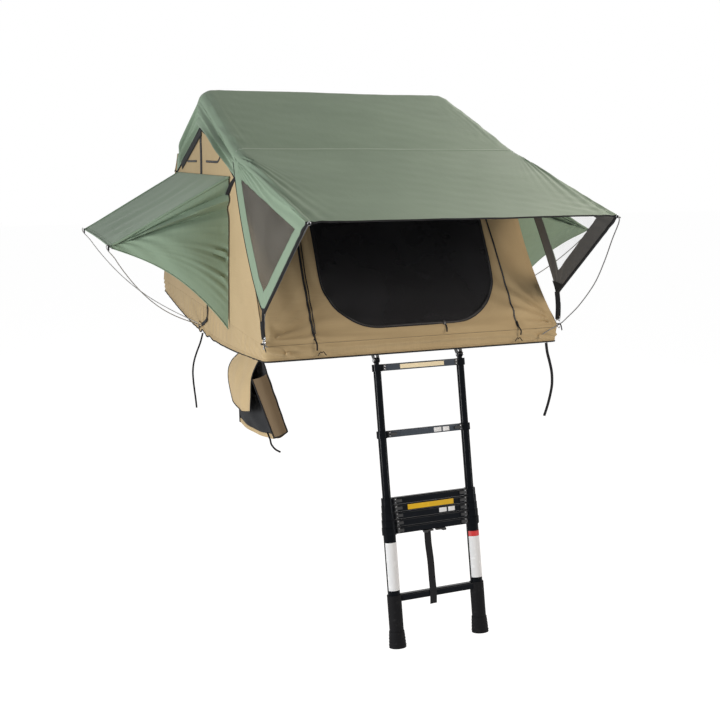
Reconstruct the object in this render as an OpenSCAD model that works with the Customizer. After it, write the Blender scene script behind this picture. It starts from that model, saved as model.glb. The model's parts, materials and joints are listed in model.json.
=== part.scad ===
// Roof top tent: folding base, three bows, cloth canopy with fly and awnings, and a telescopic ladder.
// Lengths are millimetres. +Z is up, +X runs along the fold, and the ladder hangs at the -Y end.
// The origin is on the rack, at the middle of the four mounting holes.

/* [Base] */
// Width over the cloth
tent_w = 1400; // [1200:10:1600]
// Length of each base half, from the fold to its outer end
half_l = 1200; // [1000:10:1400]
// Height of the base rails
base_t = 40; // [30:1:60]
// Width of the base rails
rail_w = 40; // [36:1:60]
// Wall of the base rails
rail_wall = 3; // [2:0.5:5]
// Thickness of the base panel
panel_t = 16; // [12:1:30]
// Room between the base's edge and the outside of the cloth
cloth_room = 12; // [12:0.5:20]
// Gap between the two base halves at the fold
fold_gap = 1; // [0.8:0.1:4]
// Thickness of each mattress half
mattress_t = 55; // [30:1:60]
// Length of the mattress left free at the outer end of each half
mattress_end = 90; // [60:5:200]

/* [Mounting channels] */
// Height of a channel
channel_h = 35; // [25:1:60]
// Width of a channel between its flanges
channel_w = 50; // [40:1:80]
// Wall of a channel
channel_wall = 4; // [3:0.5:6]
// Width of each flange
flange_w = 22; // [18:1:40]
// Distance between the two channels
channel_gap = 800; // [500:10:1000]
// Distance of a channel's ends from the ends of its base half
channel_inset = 13; // [8:0.5:16]
// Distance between the rack holes along a channel
hole_gap = 700; // [400:10:900]
// Diameter of a rack hole
hole_d = 9; // [6:0.5:12]

/* [Fold hinge] */
// Height of the hinge axis above the base's top
hinge_rise = 100; // [95:1:140]
// Diameter of the hinge bolt
pin_d = 10; // [8:0.5:14]
// Radial running clearance on a bolt
pin_clear = 0.05; // [0.02:0.01:0.1]
// Thickness of a hinge plate
plate_t = 4; // [3:0.5:5]
// Length of a hinge plate's foot
plate_foot = 160; // [100:5:240]
// Side clearance between parts that turn on a hinge bolt
side_clear = 0.4; // [0.3:0.05:1]

/* [Bows] */
// Outer diameter of a bow tube
bow_d = 22; // [18:0.5:24]
// Wall of a bow tube
bow_wall = 2; // [1.5:0.1:3]
// Bend radius of a bow's corners
bow_bend = 50; // [40:1:80]
// Reach of the ridge bow from the hinge axis
ridge_reach = 1005; // [850:5:1100]
// Reach of the front and rear bows from the hinge axis
side_reach = 1030; // [900:5:1100]
// Angle of the front and rear bows above the base
bow_angle = 43.2; // [38:0.1:50]
// Clear space between neighbouring bow tubes
bow_space = 2; // [1:0.5:4]
// Thickness of the flat lug at a bow's foot
lug_t = 8; // [6:0.5:12]

/* [Cloth] */
// Thickness of the cloth solids
cloth_t = 2; // [1:0.25:3]
// Clearance between cloth and what it lies on
cloth_clear = 0.5; // [0.4:0.1:2]
// Air gap between the canopy roof and the fly
fly_gap = 6; // [3:0.5:12]
// Height of the canopy walls' foot above the base's underside
wall_foot = 64; // [56:1:90]
// Drop of the skirt's hem at the fold
hem_drop = 80; // [20:1:120]
// Diameter of the hem's piping
piping_d = 7; // [4:0.5:10]

/* [Door and windows] */
// Width of the door at its top
door_w = 820; // [600:10:1000]
// Height of the door's foot above the wall's foot, along the wall
door_foot = 56; // [40:1:120]
// Height of the door along the wall
door_h = 640; // [450:10:700]
// Corner radius at the door's foot
door_round = 240; // [120:5:280]
// Gap round the door panel
door_clear = 0.8; // [0.5:0.1:3]
// Length of a side window
window_l = 900; // [500:10:1000]
// Height of a side window
window_h = 380; // [200:10:420]
// Height of a side window's foot above the base's underside
window_foot = 230; // [150:5:300]

/* [Fly and awnings] */
// Reach of the front awning beyond the base
awning_reach = 466; // [300:2:600]
// Height of the front awning's edge above the base's underside
awning_h = 605; // [500:5:700]
// Sag of the fly between its supports
fly_sag = 14; // [0:1:40]
// Height of the fly's side hem at the ridge above the base's underside
hem_ridge = 968; // [900:2:1000]
// Height of the fly's side hem at the bows above the base's underside
hem_bow = 753; // [735:1:790]
// Height of the front wing's lowest point above the base's underside
wing_foot = 205; // [150:5:300]
// Width of the front wing's border
wing_border = 70; // [40:5:90]
// Height of a window awning's top seam above the base's underside
side_awning_h = 720; // [690:5:745]
// Reach of a window awning beyond the tent's side
side_awning_reach = 540; // [300:10:600]
// Drop of a window awning from its seam to its outer edge
side_awning_drop = 279; // [150:1:350]
// Length of a window awning at its outer edge
side_awning_l = 1108; // [800:4:1300]
// Length of a window awning at its seam
side_seam_l = 1240; // [1100:5:1400]
// Height of a window awning's wing foot above the base's underside
side_wing_foot = 75; // [60:5:150]
// Diameter of the awning rods
rod_d = 6; // [4:0.5:9]

/* [Ladder] */
// Distance between the ladder's legs
leg_gap = 400; // [360:5:460]
// Lean of the ladder at rest
lean = 12.5; // [5:0.5:20]
// Depth of the ladder's pivot below the base's underside
pivot_drop = 30; // [27:1:45]
// Distance of the ladder's pivot behind the front edge
pivot_in = 10; // [8:1:20]
// Diameter of the ladder's pivot pins
ladder_pin_d = 10; // [8:0.5:12]
// Outer diameter of the top tube
top_tube_d = 34; // [28:0.5:36]
// Wall of a ladder tube
tube_wall = 1.2; // [1:0.1:1.6]
// Radial gap between nested tubes
tube_gap = 0.5; // [0.4:0.05:0.8]
// Distance from the pivot to the top rung
first_rung = 34; // [33:1:60]
// Distance between extended rungs
rung_step = 290; // [260:5:300]
// Distance between collapsed rungs
rung_stack = 32; // [32:0.5:38]
// Height of a rung
rung_h = 30; // [24:0.5:31]
// Depth of a rung
rung_depth = 36; // [34:0.5:44]
// Wall of a rung
rung_wall = 2; // [1.5:0.1:3]
// Height of a collar
collar_h = 31; // [29:0.5:31.5]
// Width of a collar's wall beyond its tube
collar_wall = 5; // [4:0.25:7]
// Length of a telescoping tube below its collar's top
tube_l = 340; // [330:5:360]
// Length of the lowest tube below its collar's top
foot_tube_l = 490; // [470:5:540]
// Travel of a release button
button_travel = 4; // [3:0.5:5]

/* [Hidden] */
$fn = 48;
// Gap between pieces that lie against each other
joint_gap = 0.1;
// Gap between a piece and the seat that carries it
seat_gap = 0.3;

// Colours
CLOTH_GREEN = [0.42, 0.52, 0.42];
CLOTH_TAN = [0.70, 0.60, 0.43];
MESH_BLACK = [0.08, 0.08, 0.09];
WEB_BLACK = [0.05, 0.05, 0.05];
METAL_BLACK = [0.10, 0.11, 0.13];
METAL_GREY = [0.62, 0.63, 0.65];
FOAM_GREY = [0.50, 0.50, 0.48];

// Frame: distances d run back from the front edge, heights h run up from the base's underside.
front_y = -1.5 * half_l;
tent_l = 2 * half_l;
function at(x, d, h) = [x, front_y + d, channel_h + h];
function unit(v) = v / norm(v);
function reverse(list) = [for (i = [len(list) - 1:-1:0]) list[i]];
function mix(a, b, t) = a + (b - a) * t;

// Base
base_x = tent_w / 2 - cloth_room;
half_base_l = half_l - cloth_room - fold_gap / 2;
channel_l = half_base_l - 2 * channel_inset;
wall_x = tent_w / 2 - cloth_t;

// Hinge stack on each side, from the outside inwards
hinge_h = base_t + hinge_rise;
eye_r = 18;
head_t = 5;
nut_t = 10;
front_plate_x = base_x - 2 - plate_t;
ridge_x = front_plate_x - 3 - bow_d / 2;
front_bow_x = ridge_x - bow_d - bow_space;
rear_bow_x = front_bow_x - bow_d - bow_space;
bolt_in = rear_bow_x - lug_t / 2 - side_clear - nut_t;
mattress_x = bolt_in - 15;
spacer_r = 8;
lug_l = 60;
spigot_l = 50;

// Bow centres in the plane of d and h
function bow_centre(angle, reach) = [half_l - reach * cos(angle), hinge_h + reach * sin(angle)];
front_c = bow_centre(bow_angle, side_reach);
ridge_c = bow_centre(90, ridge_reach);

// Roof and walls in the plane of d and h
roof_slope = atan2(ridge_c[1] - front_c[1], ridge_c[0] - front_c[0]);
function out_of(slope) = [-sin(slope), cos(slope)];
skin = bow_d / 2 + cloth_clear;
roof_front = front_c + skin * out_of(roof_slope);
roof_peak = [half_l, ridge_c[1] + skin / cos(roof_slope)];
wall_lean = atan2(front_c[1] - wall_foot, front_c[0] - cloth_t);
wall_bottom = [cloth_t, wall_foot] - skin * out_of(wall_lean);
wall_slope = atan2(front_c[1] - wall_bottom[1], front_c[0] - wall_bottom[0]);
wall_l = norm(front_c - wall_bottom) - 4;
wall_lift = skin * out_of(wall_slope);

// Fly in the plane of d and h
fly_up = skin + cloth_t + fly_gap;
fly_peak = [half_l, ridge_c[1] + fly_up / cos(roof_slope)];
fly_crease = front_c + fly_up * out_of(roof_slope);
fly_edge = [-awning_reach, awning_h];
edge_x = tent_w / 2 - 38;
flap_x = tent_w / 2 + cloth_clear;
fly_x = flap_x + cloth_t;
roof_x = wall_x - cloth_clear;
// Rounding of the cloth's side edges at the ridge and at the crease, and how much of it they drop
ridge_round = 64;
crease_round = 47;
edge_fall = 0.7;

// Ladder
lean_turn = [-lean, 0, 0];
pivot = at(0, pivot_in, -pivot_drop);
leg_x = leg_gap / 2;
tube_step = tube_wall + tube_gap;
SECTIONS = 7;
OPEN_RUNGS = 3;
lip = 3;
plug_l = 30;
eye_t = 16;
button_w = 30;
button_h = 12;
button_out = button_travel + 2;
button_in = 3;
boot_l = 156;
boot_wall = 4;
boot_lap = 25;
foot_l = 70;
foot_wall = 6.5;
foot_flare = 4;
function tube_r(k) = top_tube_d / 2 + (k - 1) * tube_step;
function collar_r(k) = tube_r(k) + collar_wall;
function rung_at(k) = first_rung + rung_step * (min(k, OPEN_RUNGS) - 1)
    + rung_stack * max(0, k - OPEN_RUNGS);
last_rung = rung_at(SECTIONS);
foot_end = last_rung - collar_h / 2 + lip + foot_tube_l;
boot_top = foot_end - foot_l - boot_l + boot_lap;

// Routes of the free straps and of the awning rods: x from the tent's side, d, and h
half_w = tent_w / 2;
strap_d = half_l + 15;
LEFT_STRAP = [for (p = [[5.5, -2], [20, -52], [42, -106], [58, -156], [65, -206], [64, -256],
        [60, -306], [55, -356], [51, -406]])
    [-half_w - p[0], strap_d, p[1] - hem_drop]];
RIGHT_STRAP = [for (p = [[-62, -6], [-54, -50], [-38, -100], [-25, -150], [-21, -205], [-28, -255],
        [-40, -305], [-56, -355]])
    [half_w + p[0], -4, p[1]]];
FRONT_ROD = [for (p = [[-36, -470, 580], [-33, -466, 550], [-22, -400, 475], [5, -300, 365],
        [28, -200, 262], [35, -100, 175], [30, -30, 110], [12, -10, 80], [-40, -8, 50], [-88, -8, 30]])
    [half_w + p[0], p[1], p[2]]];
side_rod_d = half_l + 60;
side_rod_h = -40;
rod_spread = 30;
rod_droop = 60;
LADDER_STRAP = [[-23, -8, 1.5], [-24, -24, -60], [-21, -43, -130], [-22, -63, -200], [-23, -79, -250],
    [-23, -84.5, -281], [-22, -84, -314]];
strap_w = 14;
strap_t = 3;
ladder_strap_w = 32;

// A tube of n sides swept along points, with half sizes a across and b through it
module sweep(points, a, b, n = 8, ref = [0, 1, 0]) {
    last = len(points) - 1;
    rings = [for (i = [0:last])
        let (t = unit(points[min(i + 1, last)] - points[max(i - 1, 0)]),
             u = unit(cross(ref, t)),
             v = cross(t, u))
        for (k = [0:n - 1]) points[i] + a * cos(360 * k / n) * u + b * sin(360 * k / n) * v];
    sides = [for (i = [0:last - 1]) for (k = [0:n - 1])
        let (p = i * n + k, q = i * n + (k + 1) % n)
        each [[p, q + n, q], [p, p + n, q + n]]];
    first_cap = [for (k = [1:n - 2]) [0, k, k + 1]];
    last_cap = [for (k = [1:n - 2]) [last * n, last * n + k + 1, last * n + k]];
    polyhedron(rings, concat(sides, first_cap, last_cap));
}

// A closed sheet on a grid of points, thickened along the vector thick
module sheet(grid, thick) {
    rows = len(grid);
    cols = len(grid[0]);
    count = rows * cols;
    flat = [for (row = grid) each row];
    lifted = [for (p = flat) p + thick];
    facing = cross(grid[1][0] - grid[0][0], grid[0][1] - grid[0][0]) * thick;
    rim = concat([for (j = [0:cols - 1]) j], [for (i = [1:rows - 1]) i * cols + cols - 1],
        [for (j = [cols - 2:-1:0]) (rows - 1) * cols + j], [for (i = [rows - 2:-1:1]) i * cols]);
    low = [for (i = [0:rows - 2]) for (j = [0:cols - 2])
        let (p = i * cols + j)
        each [[p, p + cols, p + 1], [p + 1, p + cols, p + cols + 1]]];
    high = [for (f = low) [for (k = [2:-1:0]) f[k] + count]];
    edge = [for (k = [0:len(rim) - 1])
        let (p = rim[k], q = rim[(k + 1) % len(rim)])
        each [[p, q, q + count], [p, q + count, p + count]]];
    faces = concat(low, high, edge);
    polyhedron(concat(flat, lifted), facing > 0 ? faces : [for (f = faces) reverse(f)]);
}

// An outline of d and h points, drawn out along X from x1 to x2
module across(points, x1, x2) {
    translate([x1, front_y, channel_h])
        rotate([90, 0, 90])
            linear_extrude(x2 - x1) polygon(points);
}

// A block between two corners given by x, d and h
module block(x1, x2, d1, d2, h1, h2) {
    translate(at(x1, d1, h1)) cube([x2 - x1, d2 - d1, h2 - h1]);
}

// A round bar along X through d and h
module bar_x(x1, x2, d, h, r) {
    translate(at(x1, d, h)) rotate([0, 90, 0]) cylinder(h = x2 - x1, r = r);
}

// A sleeve along X through d and h
module sleeve_x(x1, x2, d, h, r, bore_r) {
    difference() {
        bar_x(x1, x2, d, h, r);
        bar_x(x1 - 1, x2 + 1, d, h, bore_r);
    }
}

module both_sides() {
    children();
    mirror([1, 0, 0]) children();
}

// The part of the front half repeated on the rear half
module on_rear() {
    translate([0, 2 * front_y + tent_l, 0]) mirror([0, 1, 0]) children();
}

// Base rails, panel and mattress of the front half; a strip along the rails carries the skirt
strip_t = 8;
strip_h = 26;

module rails() {
    d1 = cloth_room;
    d2 = cloth_room + half_base_l;
    wall = rail_wall;
    both_sides() difference() {
        block(base_x - rail_w, base_x, d1, d2, 0, base_t);
        block(base_x - rail_w + wall, base_x - wall, d1 - 1, d2 + 1, wall, base_t - wall);
    }
    inner = base_x - rail_w - joint_gap;
    for (d = [d1, d2 - rail_w]) difference() {
        block(-inner, inner, d, d + rail_w, 0, base_t);
        block(-inner - 1, inner + 1, d + wall, d + rail_w - wall, wall, base_t - wall);
    }
    both_sides() block(base_x, wall_x - seat_gap, d1 + rail_w, half_l - plate_foot - rail_w,
        strip_h, strip_h + strip_t);
    block(rail_w - inner, inner - rail_w, cloth_t + seat_gap, d1, strip_h, strip_h + strip_t);
}

module panel() {
    inner = base_x - rail_w;
    block(-inner, inner, cloth_room + rail_w, cloth_room + half_base_l - rail_w, base_t - panel_t, base_t);
}

module mattress() {
    block(-mattress_x, mattress_x, mattress_end, half_l - 3, base_t, base_t + mattress_t);
}

bolt_r = 3;

module each_channel_bolt() {
    end_y = half_base_l / 2 - rail_w / 2;
    for (x = [-1, 1], side = [-1, 1], end = [-1, 1])
        translate([x * channel_gap / 2 + side * (channel_w + flange_w) / 2, end * end_y, channel_h])
            children();
}

module front_rails() { color(METAL_BLACK) rails(); }

module rear_rails() {
    bolt_depth = base_t - 8;
    color(METAL_BLACK) difference() {
        on_rear() rails();
        each_channel_bolt() translate([0, 0, -1]) cylinder(h = bolt_depth + 1, r = bolt_r + joint_gap);
    }
}

module front_panel() { color(METAL_GREY) panel(); }
module rear_panel() { color(METAL_GREY) on_rear() panel(); }
module front_mattress() { color(FOAM_GREY) mattress(); }
module rear_mattress() { color(FOAM_GREY) on_rear() mattress(); }

// Mounting channels: a hat section whose web carries the rack holes
module mounting_channels() {
    w = channel_w / 2;
    outline = [[-w, 0], [w, 0], [w, channel_h - channel_wall], [w + flange_w, channel_h - channel_wall],
        [w + flange_w, channel_h], [w - channel_wall, channel_h], [w - channel_wall, channel_wall],
        [channel_wall - w, channel_wall], [channel_wall - w, channel_h], [-w - flange_w, channel_h],
        [-w - flange_w, channel_h - channel_wall], [-w, channel_h - channel_wall]];
    color(METAL_GREY) difference() {
        for (side = [-1, 1])
            translate([side * channel_gap / 2, channel_l / 2, 0])
                rotate([90, 0, 0]) linear_extrude(channel_l) polygon(outline);
        for (x = [-1, 1], y = [-1, 1])
            translate([x * channel_gap / 2, y * hole_gap / 2, -1])
                cylinder(h = channel_wall + 2, d = hole_d);
        each_channel_bolt()
            translate([0, 0, -channel_wall - 1]) cylinder(h = channel_wall + 2, r = bolt_r + joint_gap);
    }
}

module channel_bolts() {
    color(METAL_GREY) each_channel_bolt() {
        translate([0, 0, -channel_wall]) cylinder(h = channel_wall + base_t - 12, r = bolt_r);
        translate([0, 0, -channel_wall - 4]) cylinder(h = 4, r = 6.5, $fn = 6);
    }
}

// Hinge plate outline in d and h, from a foot on the front half up to the eye
module plate_outline(foot_h) {
    difference() {
        union() {
            polygon([[half_l - plate_foot, foot_h], [half_l - 10, foot_h], [half_l + eye_r, hinge_h],
                [half_l - eye_r, hinge_h], [half_l - plate_foot, foot_h + 30]]);
            translate([half_l, hinge_h]) circle(r = eye_r);
        }
        translate([half_l, hinge_h]) circle(d = pin_d + 2 * pin_clear);
    }
}

module upright_plate(x, foot_h) {
    translate([x, front_y, channel_h]) rotate([90, 0, 90]) linear_extrude(plate_t) plate_outline(foot_h);
}

module front_hinge_plates() {
    color(METAL_GREY) both_sides() {
        upright_plate(front_plate_x, base_t);
        block(front_plate_x - rail_w / 2, front_plate_x, half_l - plate_foot, half_l - 30,
            base_t, base_t + plate_t);
    }
}

module rear_hinge_plates() {
    color(METAL_GREY) on_rear() both_sides() upright_plate(base_x, 4);
}

// Hinge bolts with their heads, spacers between the turning lugs, and nuts
module hinge_bolts() {
    spans = [[ridge_x + lug_t / 2, front_plate_x], [front_bow_x + lug_t / 2, ridge_x - lug_t / 2],
        [rear_bow_x + lug_t / 2, front_bow_x - lug_t / 2], [front_plate_x + plate_t, base_x]];
    color(METAL_GREY) both_sides() {
        bar_x(bolt_in, base_x + plate_t + head_t, half_l, hinge_h, pin_d / 2);
        bar_x(base_x + plate_t, base_x + plate_t + head_t, half_l, hinge_h, pin_d);
        for (s = spans)
            sleeve_x(s[0] + side_clear, s[1] - side_clear, half_l, hinge_h, spacer_r,
                pin_d / 2 + pin_clear);
        sleeve_x(bolt_in, bolt_in + nut_t, half_l, hinge_h, pin_d, pin_d / 2 + pin_clear);
    }
}

// Bow parts in their own frame: +Z runs out from the hinge axis
module bow_place(angle) {
    translate(at(0, half_l, hinge_h)) rotate([90 - angle, 0, 0]) children();
}

module bow_legs(x, reach) {
    both_sides() translate([x, 0, 0]) {
        difference() {
            union() {
                rotate([0, 90, 0]) translate([0, 0, -lug_t / 2]) cylinder(h = lug_t, r = eye_r - 4);
                translate([-lug_t / 2, -9, 0]) cube([lug_t, 18, lug_l]);
                translate([0, 0, lug_l]) cylinder(h = spigot_l, d = bow_d - 2 * bow_wall - 0.4);
                translate([0, 0, lug_l - 6]) cylinder(h = 6, d = bow_d);
            }
            rotate([0, 90, 0]) translate([0, 0, -lug_t]) cylinder(h = 2 * lug_t, d = pin_d + 2 * pin_clear);
        }
        translate([0, 0, lug_l]) difference() {
            cylinder(h = reach - bow_bend - lug_l, d = bow_d);
            translate([0, 0, -1]) cylinder(h = reach - bow_bend - lug_l + 2, d = bow_d - 2 * bow_wall);
        }
    }
}

module tube_ring() {
    difference() {
        circle(d = bow_d);
        circle(d = bow_d - 2 * bow_wall);
    }
}

module bow_crossbar(x, reach) {
    translate([0, 0, reach]) rotate([0, 90, 0])
        translate([0, 0, -(x - bow_bend)]) linear_extrude(2 * (x - bow_bend)) tube_ring();
    both_sides() translate([x - bow_bend, 0, reach - bow_bend]) rotate([90, 0, 0])
        rotate_extrude(angle = 90) translate([bow_bend, 0]) tube_ring();
}

module front_bow_legs() { color(METAL_GREY) bow_place(bow_angle) bow_legs(front_bow_x, side_reach); }
module front_bow_crossbar() {
    color(METAL_GREY) bow_place(bow_angle) bow_crossbar(front_bow_x, side_reach);
}

module ridge_bow_legs() { color(METAL_GREY) bow_place(90) bow_legs(ridge_x, ridge_reach); }
module ridge_bow_crossbar() { color(METAL_GREY) bow_place(90) bow_crossbar(ridge_x, ridge_reach); }
module rear_bow_legs() { color(METAL_GREY) bow_place(180 - bow_angle) bow_legs(rear_bow_x, side_reach); }
module rear_bow_crossbar() {
    color(METAL_GREY) bow_place(180 - bow_angle) bow_crossbar(rear_bow_x, side_reach);
}

// Walls that slope up from the base's ends to the front and rear bows
module end_wall_place() {
    start = wall_bottom + wall_lift;
    translate(at(0, start[0], start[1])) rotate([wall_slope, 0, 0]) children();
}

// Outline of an end wall, whose top corners stay below the roof's rounded side edges
CORNER_STEPS = 6;
CORNER_CUT = 1.25;

module end_wall_outline() {
    w = wall_x - 1;
    round = crease_round - fly_gap;
    corner = [for (i = [0:CORNER_STEPS]) let (x = w - round * i / CORNER_STEPS)
        [x, wall_l - CORNER_CUT * edge_drop(x, roof_x, round) / sin(wall_slope)]];
    polygon(concat([[-w, 0], [w, 0]], corner, [for (p = reverse(corner)) [-p[0], p[1]]]));
}

// Outline of the door on its wall, shrunk by inset
module door_outline(inset = 0) {
    w = door_w / 2 - inset;
    low = door_foot + inset;
    round = door_round - inset;
    translate([-w, low + round]) square([2 * w, door_h - round - 2 * inset]);
    translate([-w + round, low]) square([2 * (w - round), round + 1]);
    for (side = [-1, 1]) translate([side * (w - round), low + round]) circle(r = round);
}

module front_wall() {
    color(CLOTH_TAN) end_wall_place() linear_extrude(cloth_t) difference() {
        end_wall_outline();
        door_outline();
    }
}

module rear_wall() {
    color(CLOTH_TAN) on_rear() end_wall_place() linear_extrude(cloth_t) end_wall_outline();
}

// The mesh door swings on a bead along its top edge
bead_r = 4;

module door_mesh() {
    top = door_foot + door_h - door_clear;
    color(MESH_BLACK) end_wall_place() {
        linear_extrude(cloth_t) difference() {
            door_outline(door_clear);
            translate([-door_w, top - 2 * bead_r]) square([2 * door_w, 4 * bead_r]);
        }
        translate([door_clear - door_w / 2, top - bead_r, cloth_t / 2])
            rotate([0, 90, 0]) cylinder(h = door_w - 2 * door_clear, r = bead_r);
        translate([door_clear - door_w / 2, top - 3 * bead_r, 0])
            cube([door_w - 2 * door_clear, 2 * bead_r, cloth_t]);
    }
}

// Side walls with a window each
module window_outline(inset = 0) {
    round = 60 - inset;
    l = window_l / 2 - inset;
    low = window_foot + inset;
    high = window_foot + window_h - inset;
    translate([half_l - l, low + round]) square([2 * l, high - low - 2 * round]);
    translate([half_l - l + round, low]) square([2 * (l - round), high - low]);
    for (d = [half_l - l + round, half_l + l - round], h = [low + round, high - round])
        translate([d, h]) circle(r = round);
}

module gable_outline() {
    foot_d = wall_bottom[0] + wall_lift[0] + cloth_t;
    top = roof_front - [0, edge_fall * (crease_round - fly_gap)];
    peak = roof_peak - [0, edge_fall * (ridge_round - fly_gap)];
    polygon([[foot_d + 8, wall_foot], [tent_l - foot_d - 8, wall_foot],
        [tent_l - top[0], top[1]], peak, top]);
}

module side_wall() {
    translate([wall_x, front_y, channel_h]) rotate([90, 0, 90]) linear_extrude(cloth_t) difference() {
        gable_outline();
        window_outline();
    }
}

module right_wall() { color(CLOTH_TAN) side_wall(); }
module left_wall() { color(CLOTH_TAN) mirror([1, 0, 0]) side_wall(); }

module window_meshes() {
    color(MESH_BLACK) both_sides()
        translate([wall_x, front_y, channel_h]) rotate([90, 0, 90]) linear_extrude(cloth_t)
            window_outline(cloth_clear);
}

// Skirts: cloth strips that hang round each base half down to a piped hem
skirt_top = wall_foot - 0.6;
function hem_h(d) = -hem_drop * sin(180 * d / tent_l);
HEM_STEPS = 8;

module skirt() {
    last_d = half_l - 3;
    hem = [for (i = [0:HEM_STEPS]) let (d = cloth_t + (last_d - cloth_t) * i / HEM_STEPS) [d, hem_h(d)]];
    both_sides() {
        across(concat([[last_d, skirt_top], [cloth_t, skirt_top]], hem), wall_x, wall_x + cloth_t);
        sweep([for (p = hem) at(tent_w / 2, p[0], p[1] - piping_d / 2)],
            piping_d / 2, piping_d / 2, 8, [1, 0, 0]);
    }
    block(-wall_x - cloth_t, wall_x + cloth_t, 0, cloth_t, 0, skirt_top);
    bar_x(-wall_x, wall_x, cloth_t / 2, -piping_d / 2, piping_d / 2);
}

module front_skirt() { color(CLOTH_TAN) skirt(); }
module rear_skirt() { color(CLOTH_TAN) on_rear() skirt(); }

// Roof cloth: rows run from the ridge to the edge, columns run across the width
CLOTH_COLUMNS = 12;
CLOTH_ROWS = 5;

function edge_drop(x, half, round) = let (over = max(0, abs(x) - half + round))
    edge_fall * (round - sqrt(max(0, round * round - over * over)));
function spread(j) = let (s = 2 * j / CLOTH_COLUMNS - 1) sign(s) * (1 - (1 - abs(s)) * (1 - abs(s)));
function cloth_row(line, half, round, sag) = [for (j = [0:CLOTH_COLUMNS])
    let (x = half * spread(j))
    at(x, line[0], line[1] - edge_drop(x, half, round) - sag * cos(90 * spread(j)))];
function cloth_rows(a, b, half_a, half_b, round_a, round_b, sag, first) = [for (i = [first:CLOTH_ROWS])
    let (t = i / CLOTH_ROWS)
    cloth_row(mix(a, b, t), mix(half_a, half_b, t), mix(round_a, round_b, t), sag * sin(180 * t))];
function by_peak(peak, crease) = mix(peak, crease, 0.0008);

// Canopy roof over the bows
module roof_half() {
    sheet(cloth_rows(by_peak(roof_peak, roof_front), roof_front, roof_x, roof_x,
        ridge_round - fly_gap, crease_round - fly_gap, 0, 0), [0, 0, cloth_t]);
}

module canopy_roof() {
    color(CLOTH_TAN) {
        roof_half();
        on_rear() roof_half();
    }
}

// Fly from the ridge over the front bow to the awning's edge
function fly_rows() = cloth_rows(by_peak(fly_peak, fly_crease), fly_crease, fly_x, fly_x,
    ridge_round, crease_round, 0, 0);

module fly_front() {
    grid = concat(
        fly_rows(),
        cloth_rows(fly_crease, fly_edge, fly_x, edge_x, crease_round, joint_gap, fly_sag, 1));
    color(CLOTH_GREEN) sheet(grid, [0, 0, cloth_t]);
}

// Run and fall of the fly's hem behind the rear bow
rear_hem = [-110, -85];

module fly_rear() {
    hem = fly_crease + rear_hem;
    grid = concat(
        fly_rows(),
        [cloth_row(hem, fly_x, crease_round, 0)]);
    color(CLOTH_GREEN) on_rear() sheet(grid, [0, 0, cloth_t]);
}

// Side flaps of the fly over the gables
module fly_side_flaps() {
    front_top = fly_crease - [0, edge_fall * crease_round + joint_gap * 4];
    top = fly_peak - [0, edge_fall * ridge_round + joint_gap * 4];
    low = [fly_crease[0] - 10, hem_bow];
    outline = [low, [half_l, hem_ridge], [tent_l - low[0], low[1]], [tent_l - front_top[0], front_top[1]],
        top, front_top];
    color(CLOTH_GREEN) both_sides() across(outline, flap_x, flap_x + cloth_t);
}

// Front wings: a cloth border round a triangle of mesh, from the awning's edge to the base
wing_top = fly_crease - [12, edge_fall * crease_round + 4];
wing_front = fly_edge + [2, -0.8];
wing_low = [35, wing_foot];
wing_turn = atan2(tent_w / 2 - edge_x, wing_top[0] - wing_front[0]);
WING = [wing_top, wing_front, wing_low];
function toward(p, c, t) = p + (c - p) * t;
wing_centre = (wing_top + wing_front + wing_low) / 3;
wing_in = 3 * wing_border / norm(wing_front - wing_low);

module wing_place() {
    translate(at(flap_x, wing_top[0], 0)) rotate([0, 0, -wing_turn]) rotate([90, 0, 90])
        translate([-wing_top[0], 0]) children();
}

module awning_wing() {
    hole = [for (p = WING) toward(p, wing_centre, wing_in)];
    mesh = [for (p = WING) toward(p, wing_centre, wing_in + 0.004)];
    color(CLOTH_GREEN) wing_place() linear_extrude(cloth_t) difference() {
        polygon(WING);
        polygon(hole);
    }
    color(MESH_BLACK) wing_place() linear_extrude(cloth_t) polygon(mesh);
}

module right_awning_wing() { awning_wing(); }
module left_awning_wing() { mirror([1, 0, 0]) awning_wing(); }

// Straps with a buckle that tie the wings' feet down to the base
module awning_straps() {
    color(WEB_BLACK) both_sides() {
        block(flap_x, flap_x + cloth_t, wing_low[0] - 14, wing_low[0] + 6, skirt_top + 10, wing_foot - 12);
        block(flap_x + cloth_t, flap_x + 10, wing_low[0] - 18, wing_low[0] + 10, 96, 136);
    }
}

// Awning rods of bent spring wire
module front_awning_rods() {
    color(METAL_GREY) both_sides()
        sweep([for (p = FRONT_ROD) at(p[0], p[1], p[2])], rod_d / 2, rod_d / 2, 8, [1, 0.4, 0]);
}

front_socket = 14;

module front_rod_sockets() {
    end = FRONT_ROD[len(FRONT_ROD) - 1];
    color(METAL_BLACK) both_sides() {
        block(end[0] - 1.6 - front_socket, end[0] - 1.6, end[1] - front_socket / 2, 0,
            end[2] - front_socket / 2, end[2] + front_socket / 2);
    }
}

// Window awnings: a sagging sheet out from each side wall and a wing at each end
seam_x = tent_w / 2 + cloth_clear + bead_r;
sheet_x = seam_x + bead_r + seat_gap;
tip_x = tent_w / 2 + side_awning_reach;
tip_h = side_awning_h - side_awning_drop;
SHEET_STEPS = 8;

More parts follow.
